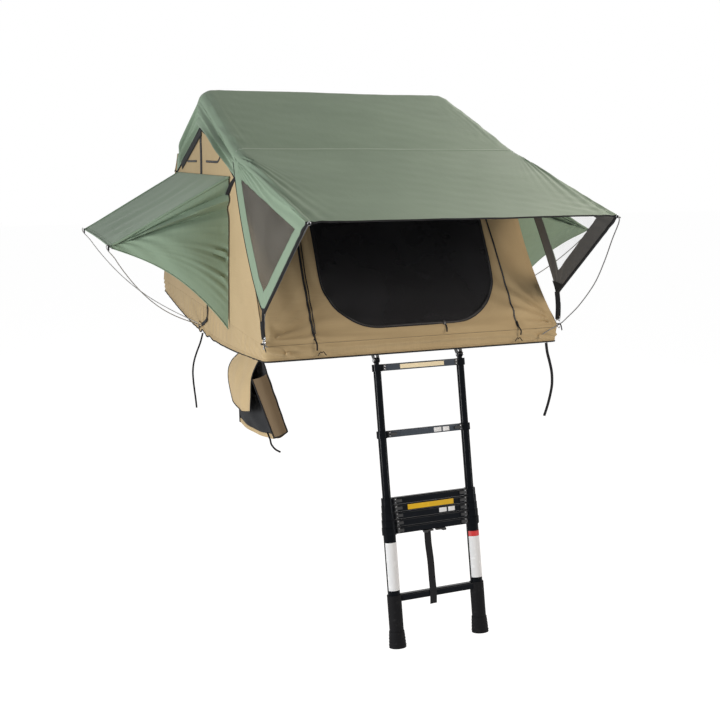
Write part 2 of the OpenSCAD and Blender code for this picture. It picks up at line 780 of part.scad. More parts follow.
function awning_point(s, t) = let (
        half = mix(side_seam_l, side_awning_l, t) / 2,
        pull = 26 * sin(90 * t) * cos(90 * s),
        sag = 18 * sin(180 * t) * cos(90 * s))
    at(mix(sheet_x, tip_x, t) - pull, half_l + s * half, mix(side_awning_h, tip_h, t) - sag);
function wing_point(end, s, t) = let (
        top = awning_point(end, s),
        foot = at(sheet_x, half_l + end * side_seam_l / 2, side_wing_foot),
        tip = awning_point(end, 1),
        low = mix(foot, tip, s) + [0, 0, 70 * sin(180 * s)])
    mix(top - [0, 0, joint_gap * 4], low, t);

module window_awning() {
    grid = [for (i = [0:SHEET_STEPS]) [for (j = [0:SHEET_STEPS])
        awning_point(2 * j / SHEET_STEPS - 1, i / SHEET_STEPS)]];
    sheet(grid, [0, 0, cloth_t]);
    for (end = [-1, 1]) {
        wing = [for (i = [0:SHEET_STEPS]) [for (j = [0:4]) wing_point(end, 0.97 * i / SHEET_STEPS, j / 4)]];
        sheet(wing, [0, -end * cloth_t, 0]);
    }
    translate(at(seam_x, half_l - side_seam_l / 2 + 20, side_awning_h))
        rotate([-90, 0, 0]) cylinder(h = side_seam_l - 40, r = bead_r);
}

module right_window_awning() { color(CLOTH_GREEN) window_awning(); }
module left_window_awning() { color(CLOTH_GREEN) mirror([1, 0, 0]) window_awning(); }

ROD_STEPS = 8;
socket_out = 12;
socket_l = 76;
socket_h = 18;

module window_rods() {
    for (end = [-1, 1]) {
        tip = awning_point(end, 1) + [0, end * 4, -4 - rod_d];
        foot = at(tent_w / 2 + socket_out + rod_d / 2, side_rod_d + end * rod_spread, side_rod_h);
        sweep([for (i = [0:ROD_STEPS]) let (t = i / ROD_STEPS)
            mix(tip, foot, t) + [0, 0, -rod_droop * sin(180 * t)]], rod_d / 2, rod_d / 2, 8, [0, 1, 0]);
    }
}

module right_window_rods() { color(METAL_GREY) window_rods(); }
module left_window_rods() { color(METAL_GREY) mirror([1, 0, 0]) window_rods(); }

module side_rod_sockets() {
    color(METAL_BLACK) both_sides()
        block(tent_w / 2 + cloth_clear, tent_w / 2 + socket_out, side_rod_d - socket_l / 2,
            side_rod_d + socket_l / 2, side_rod_h - socket_h / 2, side_rod_h + socket_h / 2);
}

// Free straps that hang from the hem
module left_strap() {
    route = [for (p = LEFT_STRAP) at(p[0], p[1], p[2])];
    color(WEB_BLACK) sweep(route, strap_w / 2, strap_t / 2, 8, [1, 0, 0]);
}

module right_strap() {
    route = [for (p = RIGHT_STRAP) at(p[0], p[1], p[2])];
    color(WEB_BLACK) sweep(route, strap_w / 2, strap_t / 2, 8, [0, 1, 0]);
}

// Shoe bag under the left front corner: a box of cloth with its mouth in the outer side
bag_d = [40, 420];
bag_x = [-tent_w / 2 - 12, -tent_w / 2 + 80];
bag_h = [-350, -52];
bag_wall = 3;
pocket_h = 150;

module shoe_bag() {
    color(CLOTH_TAN) {
        block(bag_x[1] - bag_wall, bag_x[1], bag_d[0], bag_d[1], bag_h[0], bag_h[1]);
        block(bag_x[0], bag_x[1] - bag_wall, bag_d[0], bag_d[1], bag_h[0], bag_h[0] + bag_wall);
        for (d = [bag_d[0], bag_d[1] - bag_wall])
            block(bag_x[0], bag_x[1] - bag_wall, d, d + bag_wall, bag_h[0] + bag_wall, bag_h[1]);
        block(bag_x[0], bag_x[0] + bag_wall, bag_d[0] + bag_wall, bag_d[1] - bag_wall,
            bag_h[0] + bag_wall, bag_h[0] + pocket_h);
        block(bag_x[1] - bag_wall, bag_x[1], bag_d[0], bag_d[1], bag_h[1], 0);
    }
}

// Ladder brackets under the front rail, with a pin for each leg
ear_t = 4;
ear_r = 12;

module ladder_brackets() {
    plate = 4;
    color(METAL_BLACK) both_sides() difference() {
        union() {
            block(leg_x - eye_t / 2 - ear_t - side_clear, leg_x + eye_t / 2 + ear_t + side_clear,
                pivot_in + 4, cloth_room + rail_w, -plate, 0);
            for (x = [leg_x - eye_t / 2 - side_clear - ear_t, leg_x + eye_t / 2 + side_clear]) {
                across([[pivot_in - ear_r, -pivot_drop], [pivot_in + ear_r, -pivot_drop],
                    [cloth_room + rail_w, -plate], [pivot_in + 4, -plate]], x, x + ear_t);
                bar_x(x, x + ear_t, pivot_in, -pivot_drop, ear_r);
            }
        }
        bar_x(leg_x - eye_t, leg_x + eye_t, pivot_in, -pivot_drop, ladder_pin_d / 2 + pin_clear);
    }
}

module ladder_pins() {
    reach = eye_t / 2 + ear_t + side_clear;
    color(METAL_GREY) both_sides() {
        bar_x(leg_x - reach - 3, leg_x + reach, pivot_in, -pivot_drop, ladder_pin_d / 2);
        bar_x(leg_x + reach, leg_x + reach + 4, pivot_in, -pivot_drop, ladder_pin_d * 0.85);
    }
}

// Ladder parts in their own frame: -Z runs down the ladder from the pivot
module ladder_place() {
    translate(pivot) rotate(lean_turn) children();
}

module rung_profile(inset) {
    round = 7 - inset;
    d = rung_depth / 2 - inset;
    h = rung_h / 2 - inset;
    square([2 * d, 2 * (h - round)], center = true);
    square([2 * (d - round), 2 * h], center = true);
    for (x = [-1, 1], y = [-1, 1]) translate([x * (d - round), y * (h - round)]) circle(r = round);
}

button_x = leg_x - 46;

// A hollow rung between the two legs, cut round to seat on posts of radius post_r, with slots for buttons
module rung(s, post_r, slots) {
    difference() {
        translate([-leg_x, 0, -s]) rotate([90, 0, 90]) linear_extrude(2 * leg_x) difference() {
            rung_profile(0);
            rung_profile(rung_wall);
        }
        both_sides() translate([leg_x, 0, -s - rung_h]) cylinder(h = 2 * rung_h, r = post_r + joint_gap);
        if (slots) both_sides() translate([button_x, -rung_depth / 2, -s])
            cube([button_w + 2 * side_clear, 4 * rung_wall, button_h + 2 * side_clear], center = true);
    }
}

module leg_tube(k, length) {
    top = rung_at(k) - collar_h / 2 + lip + joint_gap;
    translate([leg_x, 0, -top - length]) difference() {
        cylinder(h = length, r = tube_r(k));
        translate([0, 0, -1]) cylinder(h = length + 2, r = tube_r(k) - tube_wall);
    }
}

module collar(k) {
    bore = tube_r(k) + joint_gap;
    neck = tube_r(k) - tube_wall - joint_gap;
    translate([leg_x, 0, -rung_at(k) - collar_h / 2]) difference() {
        cylinder(h = collar_h, r = collar_r(k));
        translate([0, 0, -1]) cylinder(h = collar_h - lip + 1, r = bore);
        cylinder(h = collar_h + 1, r = neck);
    }
}

// One section: two tubes with their collars, and a rung; the top one has eyes, the lowest a second rung
module ladder_section(k) {
    color(METAL_BLACK) ladder_place() {
        both_sides() {
            leg_tube(k, k == SECTIONS ? foot_tube_l : tube_l);
            collar(k);
        }
        rung(rung_at(k), collar_r(k), k > 1);
        if (k == 1) both_sides() eye();
        if (k == SECTIONS) foot_rung();
    }
}

module eye() {
    top = rung_at(1) - collar_h / 2;
    plug_r = tube_r(1) - tube_wall - 2 * joint_gap;
    translate([leg_x, 0, 0]) difference() {
        union() {
            rotate([0, 90, 0]) translate([0, 0, -eye_t / 2]) cylinder(h = eye_t, r = ear_r);
            translate([-eye_t / 2, -9, -top]) cube([eye_t, 18, top]);
            translate([0, 0, -top - plug_l]) cylinder(h = plug_l, r = plug_r);
        }
        rotate([0, 90, 0]) translate([0, 0, -eye_t])
            cylinder(h = 2 * eye_t, r = ladder_pin_d / 2 + pin_clear);
    }
}

module foot_rung() {
    rung_s = boot_top + rung_h / 2;
    difference() {
        translate([-leg_x, 0, -rung_s]) rotate([90, 0, 90]) linear_extrude(2 * leg_x) difference() {
            rung_profile(0);
            rung_profile(rung_wall);
        }
        both_sides() translate([leg_x, 0, -rung_s - rung_h])
            cylinder(h = 2 * rung_h, r = tube_r(SECTIONS) + boot_wall + joint_gap);
    }
}

// Release buttons: a tab at each end of a rung that slides into it
module ladder_buttons(k) {
    color(WEB_BLACK) ladder_place() both_sides()
        translate([button_x - button_w / 2, -rung_depth / 2 - button_out, -rung_at(k) - button_h / 2])
            cube([button_w, button_out + button_in, button_h]);
}

module ladder_feet() {
    r = tube_r(SECTIONS);
    color(WEB_BLACK) ladder_place() both_sides() translate([leg_x, 0, 0]) {
        translate([0, 0, -boot_top - boot_l]) difference() {
            cylinder(h = boot_l, r = r + boot_wall);
            translate([0, 0, -1]) cylinder(h = boot_l + 2, r = r + joint_gap);
        }
        translate([0, 0, -boot_top - boot_l - foot_l - joint_gap]) difference() {
            cylinder(h = foot_l, r1 = r + foot_wall + foot_flare, r2 = r + foot_wall);
            translate([0, 0, boot_top + boot_l + foot_l - foot_end])
                cylinder(h = foot_l, r = r + joint_gap);
        }
    }
}

module ladder_strap() {
    start = pivot + [0, -sin(lean) * (last_rung + rung_h / 2), -cos(lean) * (last_rung + rung_h / 2)];
    route = [for (p = LADDER_STRAP) start + p];
    color(WEB_BLACK) sweep(route, ladder_strap_w / 2, strap_t / 2, 8, [0, 1, 0]);
}

rear_rails();
rear_panel();
mounting_channels();
channel_bolts();
rear_hinge_plates();
hinge_bolts();
rear_mattress();
rear_skirt();
side_rod_sockets();
left_strap();
front_rails();
front_panel();
front_hinge_plates();
front_mattress();
front_skirt();
front_rod_sockets();
ladder_brackets();
ladder_pins();
shoe_bag();
right_strap();
front_bow_legs();
front_bow_crossbar();
ridge_bow_legs();
ridge_bow_crossbar();
rear_bow_legs();
rear_bow_crossbar();
canopy_roof();
front_wall();
rear_wall();
left_wall();
right_wall();
window_meshes();
door_mesh();
fly_front();
fly_rear();
fly_side_flaps();
left_awning_wing();
right_awning_wing();
front_awning_rods();
awning_straps();
left_window_awning();
left_window_rods();
right_window_awning();
right_window_rods();
ladder_section(1);  // ladder_section_1
ladder_section(2);  // ladder_section_2
ladder_section(3);  // ladder_section_3
ladder_section(4);  // ladder_section_4
ladder_section(5);  // ladder_section_5
ladder_section(6);  // ladder_section_6
ladder_section(7);  // ladder_section_7
ladder_buttons(2);  // ladder_buttons_2
ladder_buttons(3);  // ladder_buttons_3
ladder_buttons(4);  // ladder_buttons_4
ladder_buttons(5);  // ladder_buttons_5
ladder_buttons(6);  // ladder_buttons_6
ladder_buttons(7);  // ladder_buttons_7
ladder_feet();
ladder_strap();
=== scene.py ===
"""Looks of a soft-shell roof top tent: its cloth, zips, straps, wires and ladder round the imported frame.

Lengths are metres in the frame's own axes: +Z up, +X along the fold, and the ladder at the -Y end.
Places on the tent are given as x, d and h: d runs back from the front edge, h up from the base's underside.
"""

from __future__ import annotations

import json
import logging
import math
import random
from dataclasses import dataclass, field, replace
from enum import Enum
from typing import Callable, Sequence

import bmesh
import bpy
import numpy as np
from mathutils import Matrix, Vector

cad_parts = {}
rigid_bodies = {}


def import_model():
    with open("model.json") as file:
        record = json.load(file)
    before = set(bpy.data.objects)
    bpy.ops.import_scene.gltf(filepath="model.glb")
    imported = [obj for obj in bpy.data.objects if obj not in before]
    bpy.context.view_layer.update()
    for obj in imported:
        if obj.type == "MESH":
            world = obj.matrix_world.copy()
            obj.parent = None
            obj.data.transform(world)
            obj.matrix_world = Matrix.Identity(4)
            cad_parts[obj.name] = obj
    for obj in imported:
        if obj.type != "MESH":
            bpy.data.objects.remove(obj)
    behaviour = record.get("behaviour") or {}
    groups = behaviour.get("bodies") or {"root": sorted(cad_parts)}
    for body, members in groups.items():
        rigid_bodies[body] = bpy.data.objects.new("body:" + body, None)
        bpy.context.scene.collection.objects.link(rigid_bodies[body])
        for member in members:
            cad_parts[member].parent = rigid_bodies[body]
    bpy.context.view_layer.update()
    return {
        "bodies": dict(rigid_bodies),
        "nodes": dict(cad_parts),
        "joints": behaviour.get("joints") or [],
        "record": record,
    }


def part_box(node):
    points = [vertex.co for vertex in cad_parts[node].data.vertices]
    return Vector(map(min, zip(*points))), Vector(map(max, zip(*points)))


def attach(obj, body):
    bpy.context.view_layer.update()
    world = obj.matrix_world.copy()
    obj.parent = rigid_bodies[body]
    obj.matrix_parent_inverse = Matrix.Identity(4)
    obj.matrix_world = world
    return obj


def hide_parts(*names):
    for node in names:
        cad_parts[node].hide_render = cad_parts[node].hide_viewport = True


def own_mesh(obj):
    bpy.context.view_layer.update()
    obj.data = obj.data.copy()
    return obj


LOG = logging.getLogger("roof_top_tent")
Array = np.ndarray
Colour = tuple[float, float, float]
Pair = tuple[float, float]
Place = tuple[float, float, float]
RIGHTWARDS, BACKWARDS, UPWARDS = np.eye(3)
ENDS = (-1.0, 1.0)

# The gap round a net in its hole, a stitch's spacing, length, width and height, and a net's thickness
CLEAR = 0.001
STITCH = (0.0052, 0.0036, 0.0009, 0.0006)
NET_THICK = 0.0008


# Numbers and curves


def steps(count: int, low: float = 0.0, high: float = 1.0) -> Array:
    """Evenly spaced values with both ends."""
    return np.linspace(low, high, count)


def unit(vectors: Array) -> Array:
    """Vectors of length one along the last axis."""
    return vectors / np.maximum(np.linalg.norm(vectors, axis=-1, keepdims=True), 1e-12)


def mix(a: Array | float, b: Array | float, t: Array | float) -> Array | float:
    """The value t of the way from a to b."""
    return a + (b - a) * t


def ease(t: Array) -> Array:
    """A smooth step from 0 to 1."""
    t = np.clip(t, 0.0, 1.0)
    return t * t * (3.0 - 2.0 * t)


def arch(t: Array) -> Array:
    """A rise from 0 at t 0 to 1 in the middle, and back to 0 at t 1."""
    return np.sin(math.pi * t)


def fade(t: Array, reach: float) -> Array:
    """1 at t 0, dying away over the reach."""
    return np.exp(-t / reach)


def bell(t: Array, width: float) -> Array:
    """1 at t 0, falling off smoothly to both sides."""
    return np.exp(-((t / width) ** 2))


def crowded(count: int, power: float) -> Array:
    """Values from -1 to 1 that lie closer together towards the ends."""
    s = steps(count, -1.0, 1.0)
    return np.sign(s) * (1.0 - (1.0 - np.abs(s)) ** power)


def fall(x: Array, half: Array | float, radius: Array) -> Array:
    """How far a sheet drops at x where its edge at half is rounded off."""
    over = np.maximum(0.0, np.abs(x) - half + radius)
    return radius - np.sqrt(np.maximum(0.0, radius**2 - over**2))


def waves(u: Array, v: Array, length: float, seed: int, heading: float = 0.0, spread: float = 180.0) -> Array:
    """Soft ripples of about one wavelength, the same at each run.

    Args:
        u: first coordinate of each point.
        v: second coordinate of each point.
        length: the usual wavelength.
        seed: picks the ripples.
        heading: the direction that the ripples run across, in degrees.
        spread: how far a ripple may turn from that direction, in degrees.

    Returns:
        Heights of about -1 to 1.
    """
    draw = random.Random(seed)
    count = 7
    total = np.zeros(np.broadcast(u, v).shape)
    for _ in range(count):
        angle = math.radians(heading + draw.uniform(-spread, spread))
        pace = 2.0 * math.pi / (length * draw.uniform(0.65, 1.6))
        total = total + np.sin(pace * (u * math.cos(angle) + v * math.sin(angle)) + draw.uniform(0.0, 6.28))
    return total / math.sqrt(2.0 * count)


def pulls(u: Array, v: Array, corner: Pair, count: float, reach: float, phase: float = 0.0) -> Array:
    """Folds that fan out from a corner where the cloth is pulled.

    Args:
        u: first coordinate of each point.
        v: second coordinate of each point.
        corner: where the cloth is held.
        count: folds in a full turn.
        reach: distance over which the folds die away.
        phase: turns the fan.

    Returns:
        Heights of about -1 to 1.
    """
    du, dv = u - corner[0], v - corner[1]
    away = np.hypot(du, dv)
    fan = np.cos(count * np.arctan2(dv, du) + phase)
    return fan * fade(away, reach) * ease(away / (0.25 * reach))


def rounded(points: Sequence[Pair], radius: float, count: int = 6, closed: bool = False) -> Array:
    """A line through points with its corners rounded.

    Args:
        points: the line's corners.
        radius: how far from a corner the rounding starts.
        count: points in each rounding.
        closed: whether the line runs back to its start.

    Returns:
        The rounded line's points.
    """
    corners = np.asarray(points, float)
    found: list[Array] = []
    for i, here in enumerate(corners):
        if not closed and i in (0, len(corners) - 1):
            found.append(here)
            continue
        sides = [corners[k % len(corners)] - here for k in (i - 1, i + 1)]
        start, end = (here + unit(side) * min(radius, 0.48 * np.linalg.norm(side)) for side in sides)
        for t in steps(count):
            found.append(mix(mix(start, here, t), mix(here, end, t), t))
    return np.array(found)


def distances(points: Array) -> Array:
    """How far along a line each of its points lies."""
    return np.concatenate([[0.0], np.cumsum(np.linalg.norm(np.diff(points, axis=0), axis=1))])


def spaced(line: Sequence[Sequence[float]], count: int, closed: bool = False) -> Array:
    """Points at even distances along a line.

    Args:
        line: the line's points.
        count: how many points are wanted.
        closed: whether the line runs back to its start.

    Returns:
        The new points.
    """
    points = np.asarray(line, float)
    if closed:
        points = np.vstack([points, points[:1]])
    far = distances(points)
    places = np.linspace(0.0, far[-1], count, endpoint=not closed)
    return np.stack([np.interp(places, far, values) for values in points.T], axis=1)


def smooth_path(line: Sequence[Sequence[float]], count: int) -> Array:
    """A Catmull-Rom curve through the points of a line.

    Args:
        line: the points that it passes.
        count: how many points are wanted.

    Returns:
        The curve's points.
    """
    p = np.asarray(line, float)
    p = np.vstack([2 * p[0] - p[1], p, 2 * p[-1] - p[-2]])
    t = steps(count, 0.0, len(p) - 3 - 1e-9)
    i = t.astype(int)
    f = (t - i)[:, None]
    a, b, c, d = p[i], p[i + 1], p[i + 2], p[i + 3]
    return 0.5 * (2 * b + (c - a) * f + (2 * a - 5 * b + 4 * c - d) * f**2 + (3 * b - a - 3 * c + d) * f**3)


def circle(radius: float, sides: int) -> Array:
    """Flat points of a round outline."""
    turn = 2.0 * math.pi * np.arange(sides) / sides
    return radius * np.stack([np.cos(turn), np.sin(turn)], axis=1)


def squared(points: Array, power: float) -> Array:
    """Flat points on a circle of radius one, drawn out towards a square's corners."""
    return np.sign(points) * np.abs(points) ** power


def cast(outline: Array, centre: Pair, angles: Array) -> Array:
    """Where rays from a centre meet a closed outline.

    Args:
        outline: the outline's points, in order.
        centre: a point inside it.
        angles: the rays' directions, in radians.

    Returns:
        One point for each ray.
    """
    a = outline - np.array(centre)
    step = np.roll(a, -1, axis=0) - a
    ray = np.stack([np.cos(angles), np.sin(angles)], axis=1)
    cross = ray[:, None, 0] * step[None, :, 1] - ray[:, None, 1] * step[None, :, 0]
    cross = np.where(np.abs(cross) < 1e-12, 1e-12, cross)
    far = (a[None, :, 0] * step[None, :, 1] - a[None, :, 1] * step[None, :, 0]) / cross
    along = (a[None, :, 0] * ray[:, None, 1] - a[None, :, 1] * ray[:, None, 0]) / cross
    good = (along >= -1e-6) & (along <= 1 + 1e-6) & (far > 0)
    return ray * np.where(good, far, np.inf).min(axis=1)[:, None] + np.array(centre)


def bridge(a: Array, b: Array, rows: int) -> Array:
    """Rows of points that lead from one line to another."""
    return np.stack([mix(a, b, t) for t in steps(rows)])


def shrunk(line: Array, centre: Pair, rows: int) -> Array:
    """Rings of flat points from a closed line in to a centre."""
    return bridge(line, np.array(centre), rows)


def between(inner: Array, outer: Array, centre: Pair, columns: int, rows: int) -> Array:
    """Rings of flat points between a hole and the outline round it, with the outline's corners kept.

    Args:
        inner: the hole's outline.
        outer: the outline round it.
        centre: a point inside both.
        columns: points on a ring, besides the corners.
        rows: rings.

    Returns:
        The rings' points.
    """
    corner_angles = np.arctan2(outer[:, 1] - centre[1], outer[:, 0] - centre[0])
    angles = np.sort(np.concatenate([np.linspace(-math.pi, math.pi, columns, endpoint=False), corner_angles]))
    angles = angles[np.concatenate([[True], np.diff(angles) > 1e-4])]
    return bridge(cast(inner, centre, angles), cast(outer, centre, angles), rows)


# The frame that the looks are fitted to


@dataclass(frozen=True)
class TentFrame:
    """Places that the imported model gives."""

    fold: Vector
    base_z: float
    wall_x: float
    half_length: float = 1.2
    lean_most: float = 0.034
    lean_from: float = 0.44
    lean_run: float = 1.52

    @classmethod
    def read(cls, frame: dict) -> TentFrame:
        """Takes the places from the loaded frame."""
        fold = next(joint for joint in frame["joints"] if joint["name"] == "base_fold")
        return cls(Vector(fold["pos_m"]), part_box("rear_rails")[0].z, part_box("right_wall")[1].x)

    @property
    def length(self) -> float:
        """Length of the unfolded base."""
        return 2.0 * self.half_length

    def lean(self, d: Array | float) -> Array:
        """How far the cloth's sides come in towards the rear."""
        return self.lean_most * np.clip((d - self.lean_from) / self.lean_run, 0.0, 1.0) ** 1.4

    def side_in(self, d: Array | float, h: Array | float) -> Array:
        """How far a side wall comes in at a place: all of the lean at the eaves, and none near the base."""
        return self.lean(d) * ease((np.asarray(h) - 0.45) / 0.4)

    def at(self, x: Array | float, d: Array | float, h: Array | float) -> Array:
        """Points in the frame's axes from x, d and h."""
        x, d, h = np.broadcast_arrays(np.asarray(x, float), d, h)
        return np.stack([x, self.fold.y - self.half_length + d, self.base_z + h], axis=-1)

    def all_at(self, points: Sequence[Sequence[float]] | Array) -> Array:
        """Points in the frame's axes from a list or a grid of x, d and h."""
        return self.at(*np.moveaxis(np.asarray(points, float), -1, 0))

    def route(self, points: Sequence[Sequence[float]], count: int) -> Array:
        """A smooth path through a list of x, d and h points."""
        return smooth_path(self.all_at(points), count)


class Body(Enum):
    """The moving bodies that pieces ride on."""

    REAR_BASE = "rear_base"
    FRONT_BASE = "front_base"
    CANOPY = "ridge_bow"
    DOOR = "door_flap"
    LEFT_AWNING = "left_awning"
    RIGHT_AWNING = "right_awning"


class Side(Enum):
    """The two sides of the tent, by the sign of x."""

    LEFT = -1
    RIGHT = 1

    @property
    def word(self) -> str:
        """The side's name in a piece's name."""
        return self.name.lower()

    @property
    def out(self) -> Array:
        """The direction away from the tent."""
        return self.value * RIGHTWARDS


class Slot(Enum):
    """Material slots of the record, named with each piece."""

    GREEN = "green_cloth"
    TAN = "tan_cloth"
    NET = "black_mesh"
    WEBBING = "black_webbing"
    FOAM = "mattress_foam"
    WIRE = "spring_wire"
    PLASTIC = "black_plastic"
    LADDER = "ladder_black"
    RUBBER = "foot_rubber"


class Fold(Enum):
    """How a piece is meant to take the tent's fold: between the halves, up under the hem, or not at all; the
    script only gives the first two their own meshes.
    """

    GATHERED = "between the halves"
    LIFTED = "up under the hem"
    RIGID = "not at all"


# Shader maths


class Wire:
    """A value in a material, which takes part in Python expressions."""

    def __init__(self, board: Board, socket: bpy.types.NodeSocket) -> None:
        """Wraps one output socket."""
        self.board = board
        self.socket = socket

    def _maths(self, operation: str, first: object, second: object) -> Wire:
        """Adds one Math node."""
        return self.board.node("ShaderNodeMath", {"operation": operation}, {0: first, 1: second})

    def __add__(self, other: Wire | float) -> Wire:
        """Sum."""
        return self._maths("ADD", self, other)

    __radd__ = __add__

    def __sub__(self, other: Wire | float) -> Wire:
        """Difference."""
        return self._maths("SUBTRACT", self, other)

    def __rsub__(self, other: float) -> Wire:
        """Difference from a number."""
        return self._maths("SUBTRACT", other, self)

    def __mul__(self, other: Wire | float) -> Wire:
        """Product."""
        return self._maths("MULTIPLY", self, other)

    __rmul__ = __mul__

    def __abs__(self) -> Wire:
        """Size without sign."""
        return self._maths("ABSOLUTE", self, 0.0)

    def below(self, limit: float) -> Wire:
        """1 where the value is under the limit, and 0 elsewhere."""
        return self._maths("LESS_THAN", self, limit)

    def most(self, other: Wire) -> Wire:
        """The larger of two values."""
        return self._maths("MAXIMUM", self, other)


class Board:
    """The nodes of one material, or of the world, under construction."""

    def __init__(self, owner: bpy.types.Material | bpy.types.World) -> None:
        """Starts with nothing but the output."""
        owner.use_nodes = True
        self.owner = owner
        self.tree = owner.node_tree
        self.tree.nodes.clear()
        kind = "World" if isinstance(owner, bpy.types.World) else "Material"
        self.output = self.tree.nodes.new(f"ShaderNodeOutput{kind}")

    def node(self, kind: str, settings: dict[str, object], sockets: dict, outlet: str | int = 0) -> Wire:
        """Adds any node.

        Args:
            kind: the node's type.
            settings: its properties, which are set first.
            sockets: values or wires for its inputs, by name or number.
            outlet: the output that is returned.

        Returns:
            The wrapped output.
        """
        made = self.tree.nodes.new(kind)
        for name, value in settings.items():
            setattr(made, name, value)
        for key, value in sockets.items():
            if isinstance(value, Wire):
                self.tree.links.new(value.socket, made.inputs[key])
            else:
                made.inputs[key].default_value = value
        return Wire(self, made.outputs[outlet])

    def place(self, outlet: str = "Object") -> Wire:
        """Coordinates of the surface: Object, or UV where a pattern follows the cloth."""
        return self.node("ShaderNodeTexCoord", {}, {}, outlet)

    def noise(self, where: Wire, scale: float, detail: float = 3.0, distortion: float = 0.0) -> Wire:
        """Cloudy values of about 0.3 to 0.7."""
        sockets = {"Vector": where, "Scale": scale, "Detail": detail, "Distortion": distortion}
        return self.node("ShaderNodeTexNoise", {}, sockets)

    def bands(self, where: Wire, step: float, direction: str) -> Wire:
        """Even ridges with a given distance between them."""
        settings = {"wave_type": "BANDS", "bands_direction": direction}
        sockets = {"Vector": where, "Scale": math.pi / (10.0 * step)}
        return self.node("ShaderNodeTexWave", settings, sockets, 1)

    def stretched(self, where: Wire, scale: Sequence[float]) -> Wire:
        """Coordinates scaled by axis."""
        return self.node("ShaderNodeMapping", {}, {"Vector": where, "Scale": tuple(scale)})

    def coordinate(self, where: Wire, axis: str) -> Wire:
        """One coordinate of a place."""
        return self.node("ShaderNodeSeparateXYZ", {}, {"Vector": where}, axis)

    def tint(self, amount: Wire, low: Colour | Wire, high: Colour | Wire) -> Wire:
        """A colour between two others."""
        ends = [value if isinstance(value, Wire) else (*value, 1.0) for value in (low, high)]
        return self.node("ShaderNodeMix", {"data_type": "RGBA"}, {0: amount, 6: ends[0], 7: ends[1]}, 2)

    def ramp(self, amount: Wire, low: float, high: float) -> Wire:
        """A value stretched so that low becomes 0 and high becomes 1."""
        return self.node("ShaderNodeMapRange", {"interpolation_type": "SMOOTHSTEP"},
                         {"Value": amount, "From Min": low, "From Max": high})

    def relief(self, height: Wire) -> Wire:
        """A normal bent by heights in metres."""
        return self.node("ShaderNodeBump", {}, {"Height": height, "Strength": 1.0, "Distance": 1.0})

    def seen(self) -> Wire:
        """1 for rays from the camera, from a reflection and through a net, and 0 for light."""
        rays = [self.node("ShaderNodeLightPath", {}, {}, f"Is {kind} Ray")
                for kind in ("Camera", "Glossy", "Transmission")]
        return rays[0].most(rays[1]).most(rays[2])

    def close(self, shader: Wire) -> None:
        """Ends the nodes in a shader."""
        self.tree.links.new(shader.socket, self.output.inputs["Surface"])

    def finish(self, sockets: dict[str, object]) -> bpy.types.Material:
        """Ends the material in one Principled shader."""
        self.close(self.node("ShaderNodeBsdfPrincipled", {}, sockets))
        return self.owner


# Finishes


def scaled(colour: Colour, share: float, more: float = 0.0) -> Colour:
    """A colour made darker or lighter."""
    return tuple(more + share * value for value in colour)


@dataclass(frozen=True)
class ClothFinish:
    """Woven cloth with threads, blotches and fine creases."""

    name: str
    colour: Colour
    shade: Colour
    thread: float = 0.0012
    crumple: float = 0.0006
    crease_size: float = 9.0
    roughness: float = 0.8
    sheen: float = 0.25
    shine: float = 0.3

    def make(self) -> bpy.types.Material:
        """Builds the material."""
        board = Board(bpy.data.materials.new(self.name))
        cloth, place = board.place("UV"), board.place()
        blotch = board.ramp(board.noise(place, 3.2, 4.0), 0.32, 0.68)
        fibre = board.ramp(board.noise(cloth, 520.0, 2.0), 0.3, 0.7)
        streak = board.ramp(board.noise(board.stretched(cloth, (260.0, 9.0, 1.0)), 1.0, 2.0), 0.3, 0.7)
        tone = blotch * 0.5 + fibre * 0.2 + streak * 0.3
        weave = board.bands(cloth, self.thread, "X") * board.bands(cloth, self.thread, "Y")
        crease = abs(board.noise(place, self.crease_size, 5.0, 0.6) - 0.5)
        height = weave * (0.03 * self.thread) + crease * self.crumple
        return board.finish({
            "Base Color": board.tint(tone, self.shade, self.colour),
            "Roughness": self.roughness + fibre * 0.08,
            "Normal": board.relief(height),
            "Sheen Weight": self.sheen,
            "Sheen Roughness": 0.5,
            "Specular IOR Level": self.shine,
        })


@dataclass(frozen=True)
class NetFinish:
    """Fine insect mesh, seen partly through."""

    name: str
    colour: Colour
    cover: float
    step: float = 0.0022

    def make(self) -> bpy.types.Material:
        """Builds the material."""
        board = Board(bpy.data.materials.new(self.name))
        cloth, place = board.place("UV"), board.place()
        cloud = board.ramp(board.noise(place, 5.0, 3.0), 0.3, 0.7)
        knit = board.bands(cloth, self.step, "DIAGONAL")
        return board.finish({
            "Base Color": board.tint(cloud, scaled(self.colour, 0.7), self.colour),
            "Roughness": 0.7 + knit * 0.1,
            "Alpha": self.cover + (cloud - 0.5) * 0.05,
            "Normal": board.relief(knit * 0.00006),
            "Specular IOR Level": 0.25,
        })


@dataclass(frozen=True)
class MetalFinish:
    """Bare, plated or coated metal with a drawn grain and rubbed patches."""

    name: str
    colour: Colour
    rubbed: Colour
    metallic: float
    roughness: float
    grain: Sequence[float] = (40.0, 40.0, 900.0)

    def make(self) -> bpy.types.Material:
        """Builds the material."""
        board = Board(bpy.data.materials.new(self.name))
        place = board.place()
        drawn = board.noise(board.stretched(place, self.grain), 1.0, 3.0)
        rub = board.ramp(board.noise(place, 24.0, 6.0), 0.56, 0.72)
        return board.finish({
            "Base Color": board.tint(rub, self.colour, self.rubbed),
            "Metallic": self.metallic,
            "Roughness": self.roughness + (drawn - 0.5) * 0.2 + rub * 0.1,
            "Normal": board.relief(drawn * 0.00004),
        })


